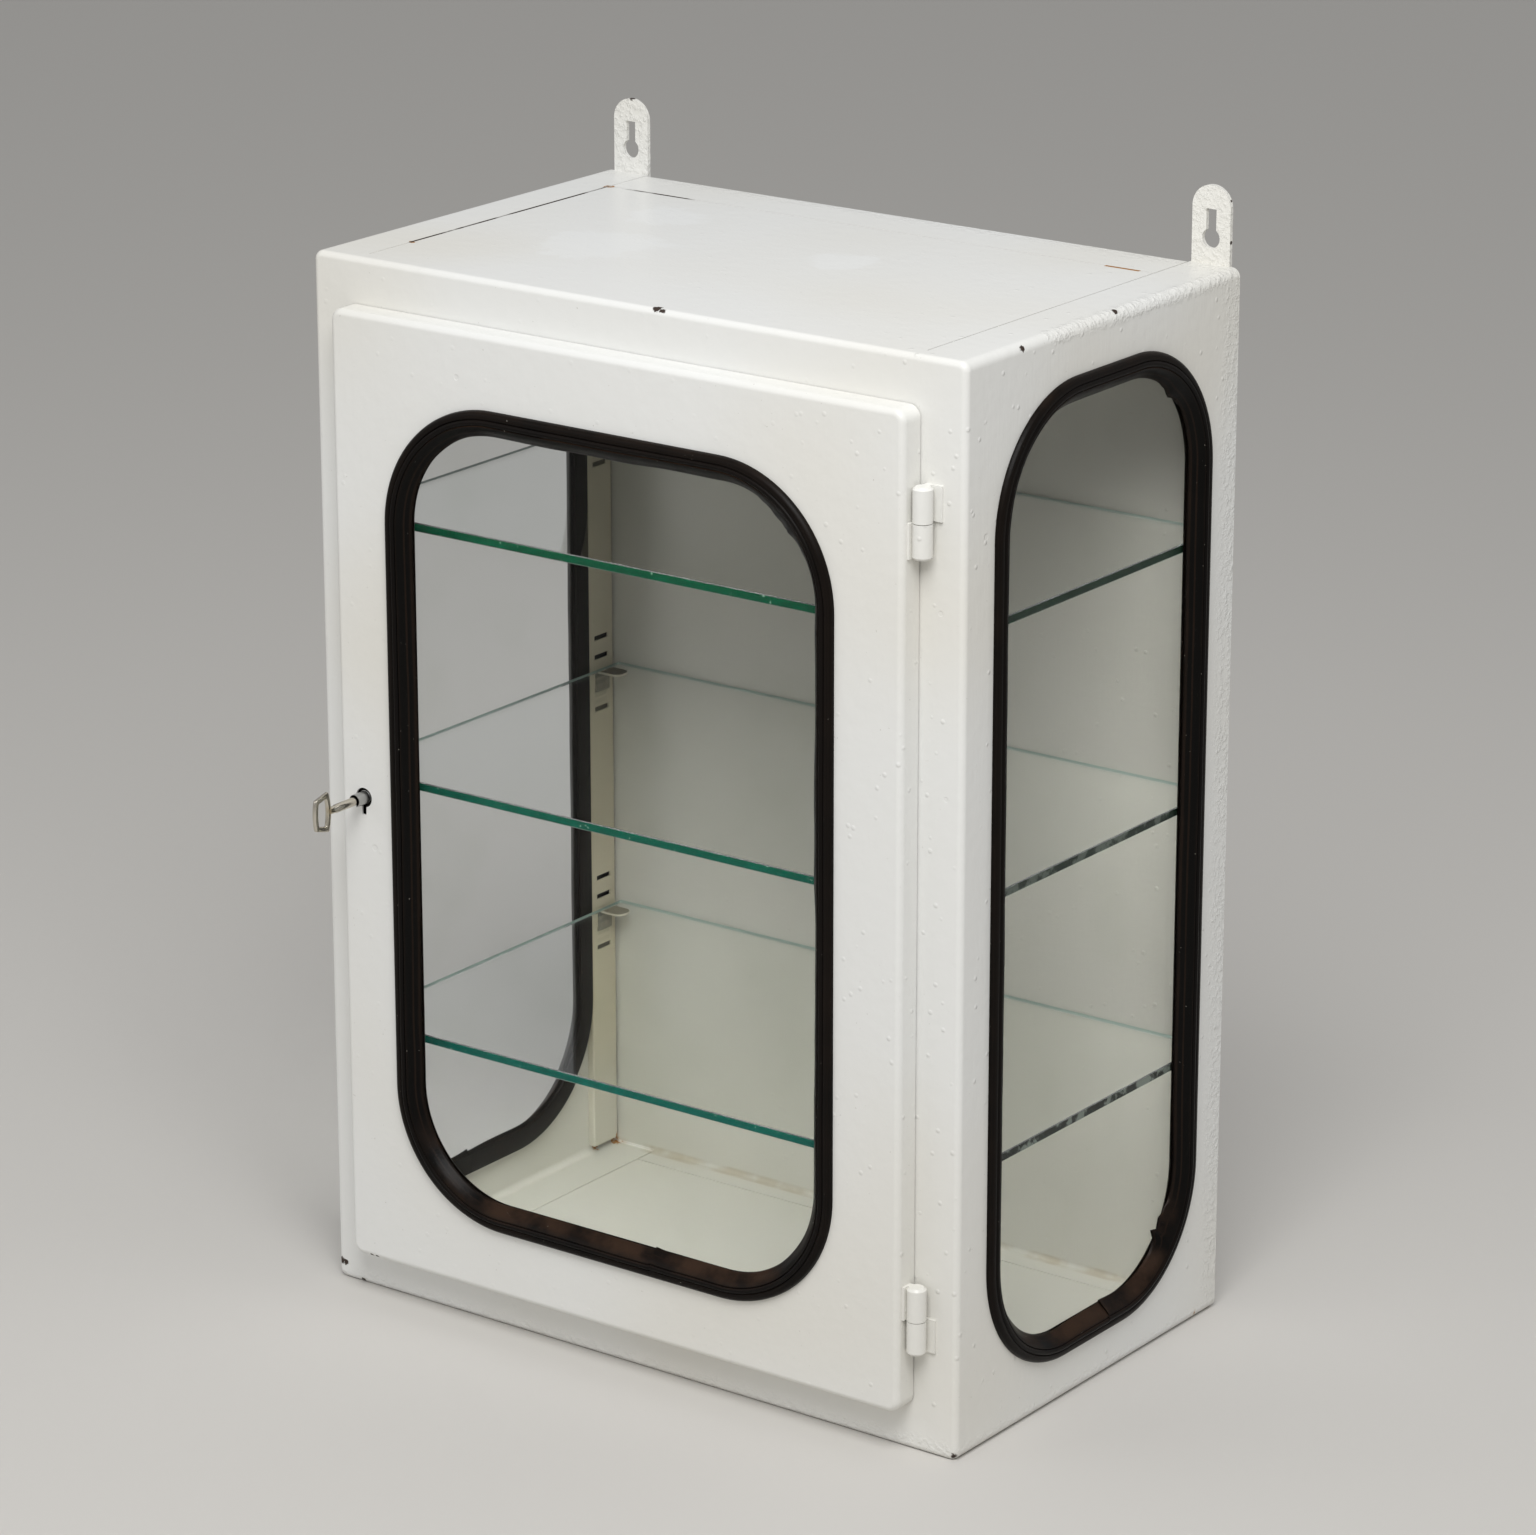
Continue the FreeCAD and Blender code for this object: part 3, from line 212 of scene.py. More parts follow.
    # Gloss paint, dull where it has gone
    gloss = add(tree, "ShaderNodeMapRange", {"Value": clouds, "To Min": 0.28, "To Max": 0.35})
    dull = add(tree, "ShaderNodeMath", {0: bare, 1: rust}, operation="MAXIMUM")
    roughness = add(tree, "ShaderNodeMath", {0: dull, 1: 0.4, 2: gloss}, operation="MULTIPLY_ADD")
    tree.links.new(roughness, shader.inputs["Roughness"])
    shader.inputs["IOR"].default_value = 1.5

    # Lumps of 9 mm, upright brush ridges of 2.4 mm, a thick crust by the rear, the foot and a fold,
    # and pimples of 2 mm that stand higher on the hinge side
    lumps = add(tree, "ShaderNodeTexNoise", {"Vector": place, "Scale": 1 / (9 * MM), "Detail": 2.0})
    drawn_out = add(tree, "ShaderNodeMapping", {"Vector": place, "Scale": (1, 1, 0.12)})
    ridges = add(tree, "ShaderNodeTexNoise", {"Vector": drawn_out, "Scale": 1 / (2.4 * MM), "Detail": 2.0})
    along_y = add(tree, "ShaderNodeSeparateXYZ", {"Vector": place}, "Y")
    along_z = add(tree, "ShaderNodeSeparateXYZ", {"Vector": place}, "Z")
    by_rear = add(tree, "ShaderNodeMapRange", {"Value": along_y, "From Min": 124 * MM, "From Max": 147 * MM},
                  interpolation_type="SMOOTHSTEP")
    by_foot = add(tree, "ShaderNodeMapRange", {"Value": along_z, "From Min": 14 * MM, "From Max": 3 * MM},
                  interpolation_type="SMOOTHSTEP")
    top_fold = slab(tree, place, (246, -60, 697), (252, 152, 703), 2, 7)
    thick = add(tree, "ShaderNodeMath", {0: by_rear, 1: by_foot}, operation="MAXIMUM")
    thick = add(tree, "ShaderNodeMath", {0: thick, 1: top_fold}, operation="MAXIMUM")
    outer = add(tree, "ShaderNodeMath", {0: 1.0, 1: within}, operation="SUBTRACT")
    thick = add(tree, "ShaderNodeMath", {0: thick, 1: outer}, operation="MULTIPLY")
    crust_noise = add(tree, "ShaderNodeTexNoise", {
        "Vector": place, "Scale": 1 / (3.6 * MM), "Detail": 3.0, "Roughness": 0.6})
    crust = add(tree, "ShaderNodeMapRange", {
        "Value": crust_noise, "From Min": 0.4, "From Max": 0.75, "To Max": 2.4}, interpolation_type="SMOOTHSTEP")
    grit = add(tree, "ShaderNodeTexVoronoi", {"Vector": place, "Scale": 1 / (13 * MM)}, "Distance")
    pimples = add(tree, "ShaderNodeMapRange", {"Value": grit, "From Min": 0.15, "From Max": 0.04},
                  interpolation_type="SMOOTHSTEP")
    along_x = add(tree, "ShaderNodeSeparateXYZ", {"Vector": place}, "X")
    hinge_side = add(tree, "ShaderNodeMapRange", {
        "Value": along_x, "From Min": 130 * MM, "From Max": 215 * MM, "To Min": 0.4, "To Max": 1.4})
    pimples = add(tree, "ShaderNodeMath", {0: pimples, 1: hinge_side}, operation="MULTIPLY")
    hollows = add(tree, "ShaderNodeMath", {0: bare, 1: marks(tree, place, 0.5, PITS)}, operation="ADD")
    height = add(tree, "ShaderNodeMath", {0: lumps, 1: 0.9, 2: pimples}, operation="MULTIPLY_ADD")
    height = add(tree, "ShaderNodeMath", {0: ridges, 1: 0.3, 2: height}, operation="MULTIPLY_ADD")
    height = add(tree, "ShaderNodeMath", {0: crust, 1: thick, 2: height}, operation="MULTIPLY_ADD")
    height = add(tree, "ShaderNodeMath", {0: hollows, 1: -0.9, 2: height}, operation="MULTIPLY_ADD")
    surface = add(tree, "ShaderNodeBump", {"Height": height, "Strength": 0.4, "Distance": 0.7 * MM})
    tree.links.new(surface, shader.inputs["Normal"])
    return made


def let_lamps_through(tree, shader, tint):
    """Lamps shine through the glass, as they do through a thin pane."""
    clear = add(tree, "ShaderNodeBsdfTransparent", {"Color": srgb(tint)})
    lamp_ray = add(tree, "ShaderNodeLightPath", {}, "Is Shadow Ray")
    both = add(tree, "ShaderNodeMixShader", {0: lamp_ray, 1: shader.outputs["BSDF"], 2: clear})
    tree.links.new(both, tree.nodes["Material Output"].inputs["Surface"])


def window_glass():
    """Drawn sheet glass: clear and almost colourless, with sharp, very weak reflections and a breath of dust."""
    made, tree, shader, place = new_material("drawn sheet glass")
    dust_noise = add(tree, "ShaderNodeTexNoise", {"Vector": place, "Scale": 1 / (60 * MM), "Detail": 4.0})
    dust = add(tree, "ShaderNodeMapRange", {"Value": dust_noise, "From Min": 0.45, "From Max": 0.9},
               interpolation_type="SMOOTHSTEP")
    tint = add(tree, "ShaderNodeMix", {0: dust, 6: srgb("#FCFDFD"), 7: srgb("#F6F8F6")}, 2, data_type="RGBA")
    tree.links.new(tint, shader.inputs["Base Color"])
    shader.inputs["Transmission Weight"].default_value = 1.0
    shader.inputs["Roughness"].default_value = 0.0
    shader.inputs["IOR"].default_value = 1.16
    let_lamps_through(tree, shader, "#FBFBFB")
    return made


def shelf_glass():
    """Float glass cut to size: clear through the faces, deep bottle green at the ground front edge, and grey and
    chipped at the ends, with painted light that makes the left ends and the rear edges paler."""
    made, tree, shader, place = new_material("float glass with ground edges")
    normal = add(tree, "ShaderNodeNewGeometry", {}, "Normal")
    apart = add(tree, "ShaderNodeVectorMath", {0: normal}, operation="ABSOLUTE")
    facing_x = add(tree, "ShaderNodeSeparateXYZ", {"Vector": apart}, "X")
    facing_z = add(tree, "ShaderNodeSeparateXYZ", {"Vector": apart}, "Z")
    along_x = add(tree, "ShaderNodeSeparateXYZ", {"Vector": place}, "X")
    along_y = add(tree, "ShaderNodeSeparateXYZ", {"Vector": place}, "Y")
    along_z = add(tree, "ShaderNodeSeparateXYZ", {"Vector": place}, "Z")
    edge = add(tree, "ShaderNodeMapRange", {"Value": facing_z, "From Min": 0.8, "From Max": 0.3})
    end = add(tree, "ShaderNodeMapRange", {"Value": facing_x, "From Min": 0.5, "From Max": 0.7})

    # Streaks of the grinding along the edge, and green that gets bluer and lighter from shelf to shelf
    drawn_out = add(tree, "ShaderNodeMapping", {"Vector": place, "Scale": (1, 1, 4)})
    streaks = add(tree, "ShaderNodeTexNoise", {
        "Vector": drawn_out, "Scale": 1 / (14 * MM), "Detail": 3.0, "Roughness": 0.6})
    lower = add(tree, "ShaderNodeMapRange", {"Value": along_z, "From Min": 540 * MM, "From Max": 160 * MM})
    deep = add(tree, "ShaderNodeMix", {0: lower, 6: srgb("#003620"), 7: srgb("#003F37")}, 2, data_type="RGBA")
    light = add(tree, "ShaderNodeMix", {0: lower, 6: srgb("#005A3A"), 7: srgb("#056A5C")}, 2, data_type="RGBA")
    green = add(tree, "ShaderNodeMix", {0: streaks, 6: deep, 7: light}, 2, data_type="RGBA")
    chip_noise = add(tree, "ShaderNodeTexNoise", {"Vector": place, "Scale": 1 / (4 * MM), "Detail": 2.0})
    chips = add(tree, "ShaderNodeMapRange", {
        "Value": chip_noise, "From Min": 0.68, "From Max": 0.72, "To Max": 0.6}, interpolation_type="SMOOTHSTEP")
    green = add(tree, "ShaderNodeMix", {0: chips, 6: green, 7: srgb("#9FC4AE")}, 2, data_type="RGBA")

    # The left ends are painted pale as if lit, the right ends dark, green on the top shelf and with pale shells
    # broken out lower down
    shell_noise = add(tree, "ShaderNodeTexNoise", {
        "Vector": place, "Scale": 1 / (11 * MM), "Detail": 3.0, "Roughness": 0.6})
    shells = add(tree, "ShaderNodeMapRange", {"Value": shell_noise, "From Min": 0.5, "From Max": 0.58},
                 interpolation_type="SMOOTHSTEP")
    shells = add(tree, "ShaderNodeMath", {0: shells, 1: lower}, operation="MULTIPLY")
    dark_end = add(tree, "ShaderNodeMix", {0: lower, 6: srgb("#002414"), 7: srgb("#0A140C")}, 2, data_type="RGBA")
    rough_end = add(tree, "ShaderNodeMix", {0: shells, 6: dark_end, 7: srgb("#7A837A")}, 2, data_type="RGBA")
    right_end_no_painted_light = add(tree, "ShaderNodeMapRange", {"Value": along_x, "From Min": -1 * MM, "From Max": 1 * MM})
    rough_end = add(tree, "ShaderNodeMix", {0: right_end_no_painted_light, 6: srgb("#8DA198"), 7: rough_end}, 2, data_type="RGBA")
    edge_colour = add(tree, "ShaderNodeMix", {0: end, 6: green, 7: rough_end}, 2, data_type="RGBA")
    # Painted light: the rear edges paler, as if lit by the white back panel
    rear_edge_painted_light = add(tree, "ShaderNodeMapRange", {"Value": along_y, "From Min": 145 * MM, "From Max": 146.5 * MM})
    edge_colour = add(tree, "ShaderNodeMix", {0: rear_edge_painted_light, 6: edge_colour, 7: srgb("#A5B8AE")}, 2, data_type="RGBA")
    colour = add(tree, "ShaderNodeMix", {0: edge, 6: srgb("#FDFEFD"), 7: edge_colour}, 2, data_type="RGBA")
    tree.links.new(colour, shader.inputs["Base Color"])
    clear = add(tree, "ShaderNodeMath", {0: 1.0, 1: edge}, operation="SUBTRACT")
    tree.links.new(clear, shader.inputs["Transmission Weight"])
    roughness = add(tree, "ShaderNodeMapRange", {"Value": edge, "To Min": 0.01, "To Max": 0.4})
    tree.links.new(roughness, shader.inputs["Roughness"])
    shader.inputs["IOR"].default_value = 1.22
    let_lamps_through(tree, shader, "#FBFCFB")
    return made


def rubber(name, dark, brown):
    """Extruded glazing rubber gone hard: near black, brown where it faces up from sun bleaching and a painted
    sheen, a weak sheen that comes and goes along the roll, die lines along its length and specks of wall paint."""
    made, tree, shader, place = new_material(name)
    normal = add(tree, "ShaderNodeNewGeometry", {}, "Normal")
    facing_up = add(tree, "ShaderNodeSeparateXYZ", {"Vector": normal}, "Z")
    across = add(tree, "ShaderNodeAttribute", {}, "Fac", attribute_name="across")
    die = add(tree, "ShaderNodeTexNoise", {"W": across, "Scale": 2.6, "Detail": 2.0}, noise_dimensions="1D")
    patches = add(tree, "ShaderNodeTexNoise", {
        "Vector": place, "Scale": 1 / (30 * MM), "Detail": 4.0, "Roughness": 0.6})

    # Brown in patches where the lip faces up, partly sun bleaching and partly a painted sheen, and thinly along the
    # die lines
    up = add(tree, "ShaderNodeMapRange", {"Value": facing_up, "From Min": 0.1, "From Max": 0.8},
             interpolation_type="SMOOTHSTEP")
    bleach_and_sheen = add(tree, "ShaderNodeMapRange", {"Value": patches, "From Min": 0.3, "From Max": 0.65},
                   interpolation_type="SMOOTHSTEP")
    on_lip = add(tree, "ShaderNodeMapRange", {"Value": across, "From Min": 10.0, "From Max": 13.0, "To Min": 0.25},
                 interpolation_type="SMOOTHSTEP")
    up = add(tree, "ShaderNodeMath", {0: up, 1: on_lip}, operation="MULTIPLY")
    bleach_and_sheen = add(tree, "ShaderNodeMath", {0: bleach_and_sheen, 1: up}, operation="MULTIPLY")
    broken_die = add(tree, "ShaderNodeMath", {0: patches, 1: 0.3, 2: die}, operation="MULTIPLY_ADD")
    lines = add(tree, "ShaderNodeMapRange", {
        "Value": broken_die, "From Min": 0.55, "From Max": 0.85, "To Max": 0.3}, interpolation_type="SMOOTHSTEP")
    bleach_sheen_and_lines = add(tree, "ShaderNodeMath", {0: bleach_and_sheen, 1: lines}, operation="MAXIMUM")
    colour = add(tree, "ShaderNodeMix", {0: bleach_sheen_and_lines, 6: srgb(dark), 7: srgb(brown)}, 2, data_type="RGBA")
    speck_noise = add(tree, "ShaderNodeTexNoise", {"Vector": place, "Scale": 1 / (1.6 * MM), "Detail": 1.0})
    specks = add(tree, "ShaderNodeMapRange", {
        "Value": speck_noise, "From Min": 0.8, "From Max": 0.83, "To Max": 0.7}, interpolation_type="SMOOTHSTEP")
    colour = add(tree, "ShaderNodeMix", {0: specks, 6: colour, 7: srgb("#B9B4A8")}, 2, data_type="RGBA")
    tree.links.new(colour, shader.inputs["Base Color"])
    sheen = add(tree, "ShaderNodeMapRange", {"Value": patches, "To Min": 0.2, "To Max": 0.55})
    tree.links.new(sheen, shader.inputs["Roughness"])
    shader.inputs["Specular IOR Level"].default_value = 0.1

    # A skin of 1.8 mm grain and the die lines
    grain = add(tree, "ShaderNodeTexNoise", {
        "Vector": place, "Scale": 1 / (1.8 * MM), "Detail": 3.0, "Roughness": 0.6})
    skin = add(tree, "ShaderNodeMath", {0: die, 1: 0.8, 2: grain}, operation="MULTIPLY_ADD")
    surface = add(tree, "ShaderNodeBump", {"Height": skin, "Strength": 0.3, "Distance": 0.3 * MM})
    tree.links.new(surface, shader.inputs["Normal"])
    return made


def clip_finish():
    """Pressed shelf clips half painted with the cabinet: dull zinc on the plate, cream paint on the tab."""
    made, tree, shader, place = new_material("half painted zinc clips")
    apart = add(tree, "ShaderNodeVectorMath", {0: place}, operation="ABSOLUTE")
    side = add(tree, "ShaderNodeSeparateXYZ", {"Vector": apart}, "X")
    ragged = add(tree, "ShaderNodeTexNoise", {
        "Vector": place, "Scale": 1 / (4 * MM), "Detail": 3.0, "Roughness": 0.6})
    uneven = add(tree, "ShaderNodeMath", {0: ragged, 1: 3 * MM, 2: side}, operation="MULTIPLY_ADD")
    plate = add(tree, "ShaderNodeMapRange", {"Value": uneven, "From Min": 241.5 * MM, "From Max": 243 * MM},
                interpolation_type="SMOOTHSTEP")
    dirt = add(tree, "ShaderNodeTexNoise", {"Vector": place, "Scale": 1 / (6 * MM), "Detail": 3.0})
    paint = add(tree, "ShaderNodeMix", {0: dirt, 6: srgb("#D8D2C0"), 7: srgb("#C6BEA6")}, 2, data_type="RGBA")
    zinc = add(tree, "ShaderNodeMix", {0: dirt, 6: srgb("#8B887D"), 7: srgb("#5F5C53")}, 2, data_type="RGBA")
    colour = add(tree, "ShaderNodeMix", {0: plate, 6: paint, 7: zinc}, 2, data_type="RGBA")
    tree.links.new(colour, shader.inputs["Base Color"])
    roughness = add(tree, "ShaderNodeMapRange", {"Value": plate, "To Min": 0.5, "To Max": 0.4})
    tree.links.new(roughness, shader.inputs["Roughness"])
    return made


def bare_metal(name, light, dark, stain, roughness):
    """Bare or thinly plated metal: fine tool marks, dulled in patches by hands and damp, and black with painted
    shade in the keyhole and at the mouth of the lock's sleeve."""
    made, tree, shader, place = new_material(name)
    patches = add(tree, "ShaderNodeTexNoise", {"Vector": place, "Scale": 1 / (16 * MM), "Detail": 2.0})
    colour = add(tree, "ShaderNodeMix", {0: patches, 6: srgb(light), 7: srgb(dark)}, 2, data_type="RGBA")
    hand_noise = add(tree, "ShaderNodeTexNoise", {"Vector": place, "Scale": 1 / (9 * MM), "Detail": 2.0})
    handled = add(tree, "ShaderNodeMapRange", {
        "Value": hand_noise, "From Min": 0.55, "From Max": 0.75, "To Max": 0.4}, interpolation_type="SMOOTHSTEP")
    colour = add(tree, "ShaderNodeMix", {0: handled, 6: colour, 7: srgb(stain)}, 2, data_type="RGBA")

    # Painted shade in the keyhole and the sleeve's mouth: how far from the lock's axis, and how far along it
    low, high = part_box("lock_sleeve")
    case_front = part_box("lock_case")[0][1]
    mouth = ((low[0] + high[0]) / 2, low[1], (low[2] + high[2]) / 2)
    from_mouth = add(tree, "ShaderNodeVectorMath", {0: place, 1: mouth}, operation="SUBTRACT")
    flat = add(tree, "ShaderNodeVectorMath", {0: from_mouth, 1: (1, 0, 1)}, operation="MULTIPLY")
    radius = add(tree, "ShaderNodeVectorMath", {0: flat}, "Value", operation="LENGTH")
    along = add(tree, "ShaderNodeSeparateXYZ", {"Vector": from_mouth}, "Y")
    off_mouth = add(tree, "ShaderNodeMath", {0: along}, operation="ABSOLUTE")
    at_mouth = add(tree, "ShaderNodeMapRange", {"Value": off_mouth, "From Min": 1.0 * MM, "From Max": 0.7 * MM})
    bore = add(tree, "ShaderNodeMapRange", {"Value": radius, "From Min": 4.0 * MM, "From Max": 3.8 * MM})
    end_ring = add(tree, "ShaderNodeMath", {0: at_mouth, 1: bore}, operation="MULTIPLY")
    off_case = add(tree, "ShaderNodeMath", {0: along, 1: case_front - low[1]}, operation="SUBTRACT")
    off_case = add(tree, "ShaderNodeMath", {0: off_case}, operation="ABSOLUTE")
    by_case = add(tree, "ShaderNodeMapRange", {"Value": off_case, "From Min": 1.4 * MM, "From Max": 1.0 * MM})
    off_sleeve = add(tree, "ShaderNodeMapRange", {"Value": radius, "From Min": 4.35 * MM, "From Max": 4.5 * MM})
    keyhole = add(tree, "ShaderNodeMath", {0: by_case, 1: off_sleeve}, operation="MULTIPLY")
    near_hole = add(tree, "ShaderNodeMapRange", {"Value": radius, "From Min": 15 * MM, "From Max": 12.5 * MM})
    keyhole = add(tree, "ShaderNodeMath", {0: keyhole, 1: near_hole}, operation="MULTIPLY")
    keyhole_painted_shade = add(tree, "ShaderNodeMath", {0: keyhole, 1: end_ring}, operation="MAXIMUM")
    # Painted shade: black in the gap round the sleeve and inside its mouth
    colour = add(tree, "ShaderNodeMix", {0: keyhole_painted_shade, 6: colour, 7: srgb("#0C0A09")}, 2, data_type="RGBA")
    tree.links.new(colour, shader.inputs["Base Color"])
    shader.inputs["Metallic"].default_value = 1.0
    worn = add(tree, "ShaderNodeMapRange", {"Value": patches, "To Min": roughness, "To Max": roughness + 0.2})
    tree.links.new(worn, shader.inputs["Roughness"])

    # Tool marks, drawn at 1.2 mm because finer ones would not show
    drawn_out = add(tree, "ShaderNodeMapping", {"Vector": place, "Scale": (1, 0.2, 1)})
    tool_marks = add(tree, "ShaderNodeTexNoise", {"Vector": drawn_out, "Scale": 1 / (1.2 * MM), "Detail": 2.0})
    surface = add(tree, "ShaderNodeBump", {"Height": tool_marks, "Strength": 0.1, "Distance": 0.1 * MM})
    tree.links.new(surface, shader.inputs["Normal"])
    return made


finishes = {
    "white_enamel": enamel("brushed white gloss enamel", "#E6E6E3", "#CCCABF"),
    "cream_enamel": enamel("cream enamel on the uprights", "#CFC8B2", "#C6BEA6"),
    "window_glass": window_glass(),
    "shelf_glass": shelf_glass(),
    "black_rubber": rubber("aged glazing rubber", "#060504", "#34251B"),
    "rubber_strip": rubber("aged rubber locking strip", "#080605", "#241912"),
    "zinc_steel": clip_finish(),
    "lock_steel": bare_metal("turned steel", "#C9C9C8", "#A3A3A2", "#8A877F", 0.2),
    "key_nickel": bare_metal("worn nickel plate", "#DAD5CB", "#BDB5A5", "#A8935F", 0.14),
}
for item in frame["record"]["subparts"]:
    piece = nodes[item["node"]]
    piece.data.materials.clear()
    piece.data.materials.append(finishes[item["material_slot"]])


def select_only(piece):
    """Leave one object selected and active."""
    bpy.ops.object.select_all(action="DESELECT")
    piece.select_set(True)
    bpy.context.view_layer.objects.active = piece


def sweep(name, section, wide, high, joint):
    """Draw a section at the joint, pull it along the sides of the window and spin it round the corners."""
    bpy.ops.object.select_all(action="DESELECT")
    bpy.ops.mesh.primitive_circle_add(vertices=len(section), fill_type="NOTHING")
    piece = bpy.context.object
    piece.name = name
    piece.data.name = name
    for corner, (along, out) in zip(piece.data.vertices, section):
        corner.co = (joint + JOINT_GAP / 2, -out * MM, along * MM - high / 2)
    bpy.ops.object.mode_set(mode="EDIT")
    bpy.ops.mesh.select_all(action="SELECT")
    flat_x = wide / 2 - WINDOW_RADIUS
    flat_z = high / 2 - WINDOW_RADIUS

    def pull(x, z, steps):
        for _ in range(steps):
            bpy.ops.mesh.extrude_region_move(TRANSFORM_OT_translate={"value": (x / steps, 0, z / steps)})

    def turn(x, z):
        bpy.ops.mesh.spin(steps=CORNER_STEPS, angle=math.pi / 2, center=(x, 0, z), axis=(0, 1, 0))

    pull(flat_x - joint - JOINT_GAP / 2, 0, SIDE_STEPS // 2)
    turn(flat_x, -flat_z)
    pull(0, 2 * flat_z, SIDE_STEPS)
    turn(flat_x, flat_z)
    pull(-2 * flat_x, 0, SIDE_STEPS)
    turn(-flat_x, flat_z)
    pull(0, -2 * flat_z, SIDE_STEPS)
    turn(-flat_x, -flat_z)
    pull(joint - JOINT_GAP / 2 + flat_x, 0, SIDE_STEPS // 2)
    bpy.ops.mesh.select_all(action="SELECT")
    bpy.ops.mesh.remove_doubles(threshold=0.01 * MM)
    bpy.ops.mesh.select_all(action="DESELECT")
    bpy.ops.mesh.select_non_manifold(extend=False)
    bpy.ops.mesh.edge_face_add()
    bpy.ops.mesh.select_all(action="SELECT")
    bpy.ops.mesh.normals_make_consistent(inside=False)
    bpy.ops.object.mode_set(mode="OBJECT")
    return piece


def slacken(piece, wide, high, joint, tears, seed):
    """Let the rubber wander as old rubber does, most at its free lip, part at the joint and fray at its tears.
    Each point keeps its distance from the outer edge, for the die lines."""
    flat_x = wide / 2 - WINDOW_RADIUS
    flat_z = high / 2 - WINDOW_RADIUS
    across = piece.data.attributes.new("across", "FLOAT", "POINT")
    for number, corner in enumerate(piece.data.vertices):
        x, y, z = corner.co
        core = Vector((max(-flat_x, min(flat_x, x)), 0, max(-flat_z, min(flat_z, z))))
        outward = Vector((x, 0, z)) - core
        depth = WINDOW_RADIUS - outward.length
        across.data[number].value = (depth - y) / MM
        outward.normalize()
        free = max(0.0, depth / RUBBER_WIDTH - 0.1) if y < PANE_DEPTH else 0.0
        wander = noise.noise(Vector((x * 9, seed, z * 9))) + 0.6 * noise.noise(Vector((x * 32, seed + 7, z * 32)))
        shift = 1.5 * MM * wander * free
        if z < -flat_z and joint < x < joint + 40 * MM:
            shift += 2.0 * MM * math.exp(-(x - joint) / (12 * MM)) * free
        for tear_x, tear_z, reach, pull in tears:
            gap = math.hypot(x - tear_x * MM, z - tear_z * MM) / (reach * MM)
            if gap < 1 and depth > 13 * MM:
                fray = noise.noise(Vector((x * 210, seed + 2, z * 210)))
                shift += (1 - gap) * free * pull * MM * (0.25 + abs(fray))
        corner.co -= outward * shift


def glaze(window, body, turn, joint_mm, tears, seed):
    """The rubber and its locking strip round one window."""
    low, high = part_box(window + "_gasket")
    size = [b - a for a, b in zip(low, high)]
    middle = [(a + b) / 2 for a, b in zip(low, high)]
    wide = size[0] if turn == 0 else size[1]
    face = {
        0: (middle[0], low[1] + CROWN),
        90: (high[0] - CROWN, middle[1]),
        -90: (low[0] + CROWN, middle[1]),
    }
    for kind, section, slot in (("_gasket", GASKET_SECTION, "black_rubber"),
                                ("_gasket_strip", STRIP_SECTION, "rubber_strip")):
        piece = sweep(window + kind + "_rubber", section, wide, size[2], joint_mm * MM)
        slacken(piece, wide, size[2], joint_mm * MM, tears, seed)
        piece.location = (*face[turn], middle[2])
        piece.rotation_euler = (0, 0, math.radians(turn))
        select_only(piece)
        bpy.ops.object.transform_apply(location=True, rotation=True, scale=True)
        bpy.ops.object.shade_smooth_by_angle(angle=math.radians(38))
        piece.data.materials.append(finishes[slot])
        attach(piece, body)
        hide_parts(window + kind)


glaze("door", "door", 0, 33, [(137, 241, 26, 8)], 3.1)
glaze("right_side", "cabinet", 90, 16, [(76, 280, 16, 8), (87, -272, 17, 22)], 11.7)
glaze("left_side", "cabinet", -90, 20, [(-60, 262, 15, 8)], 23.9)


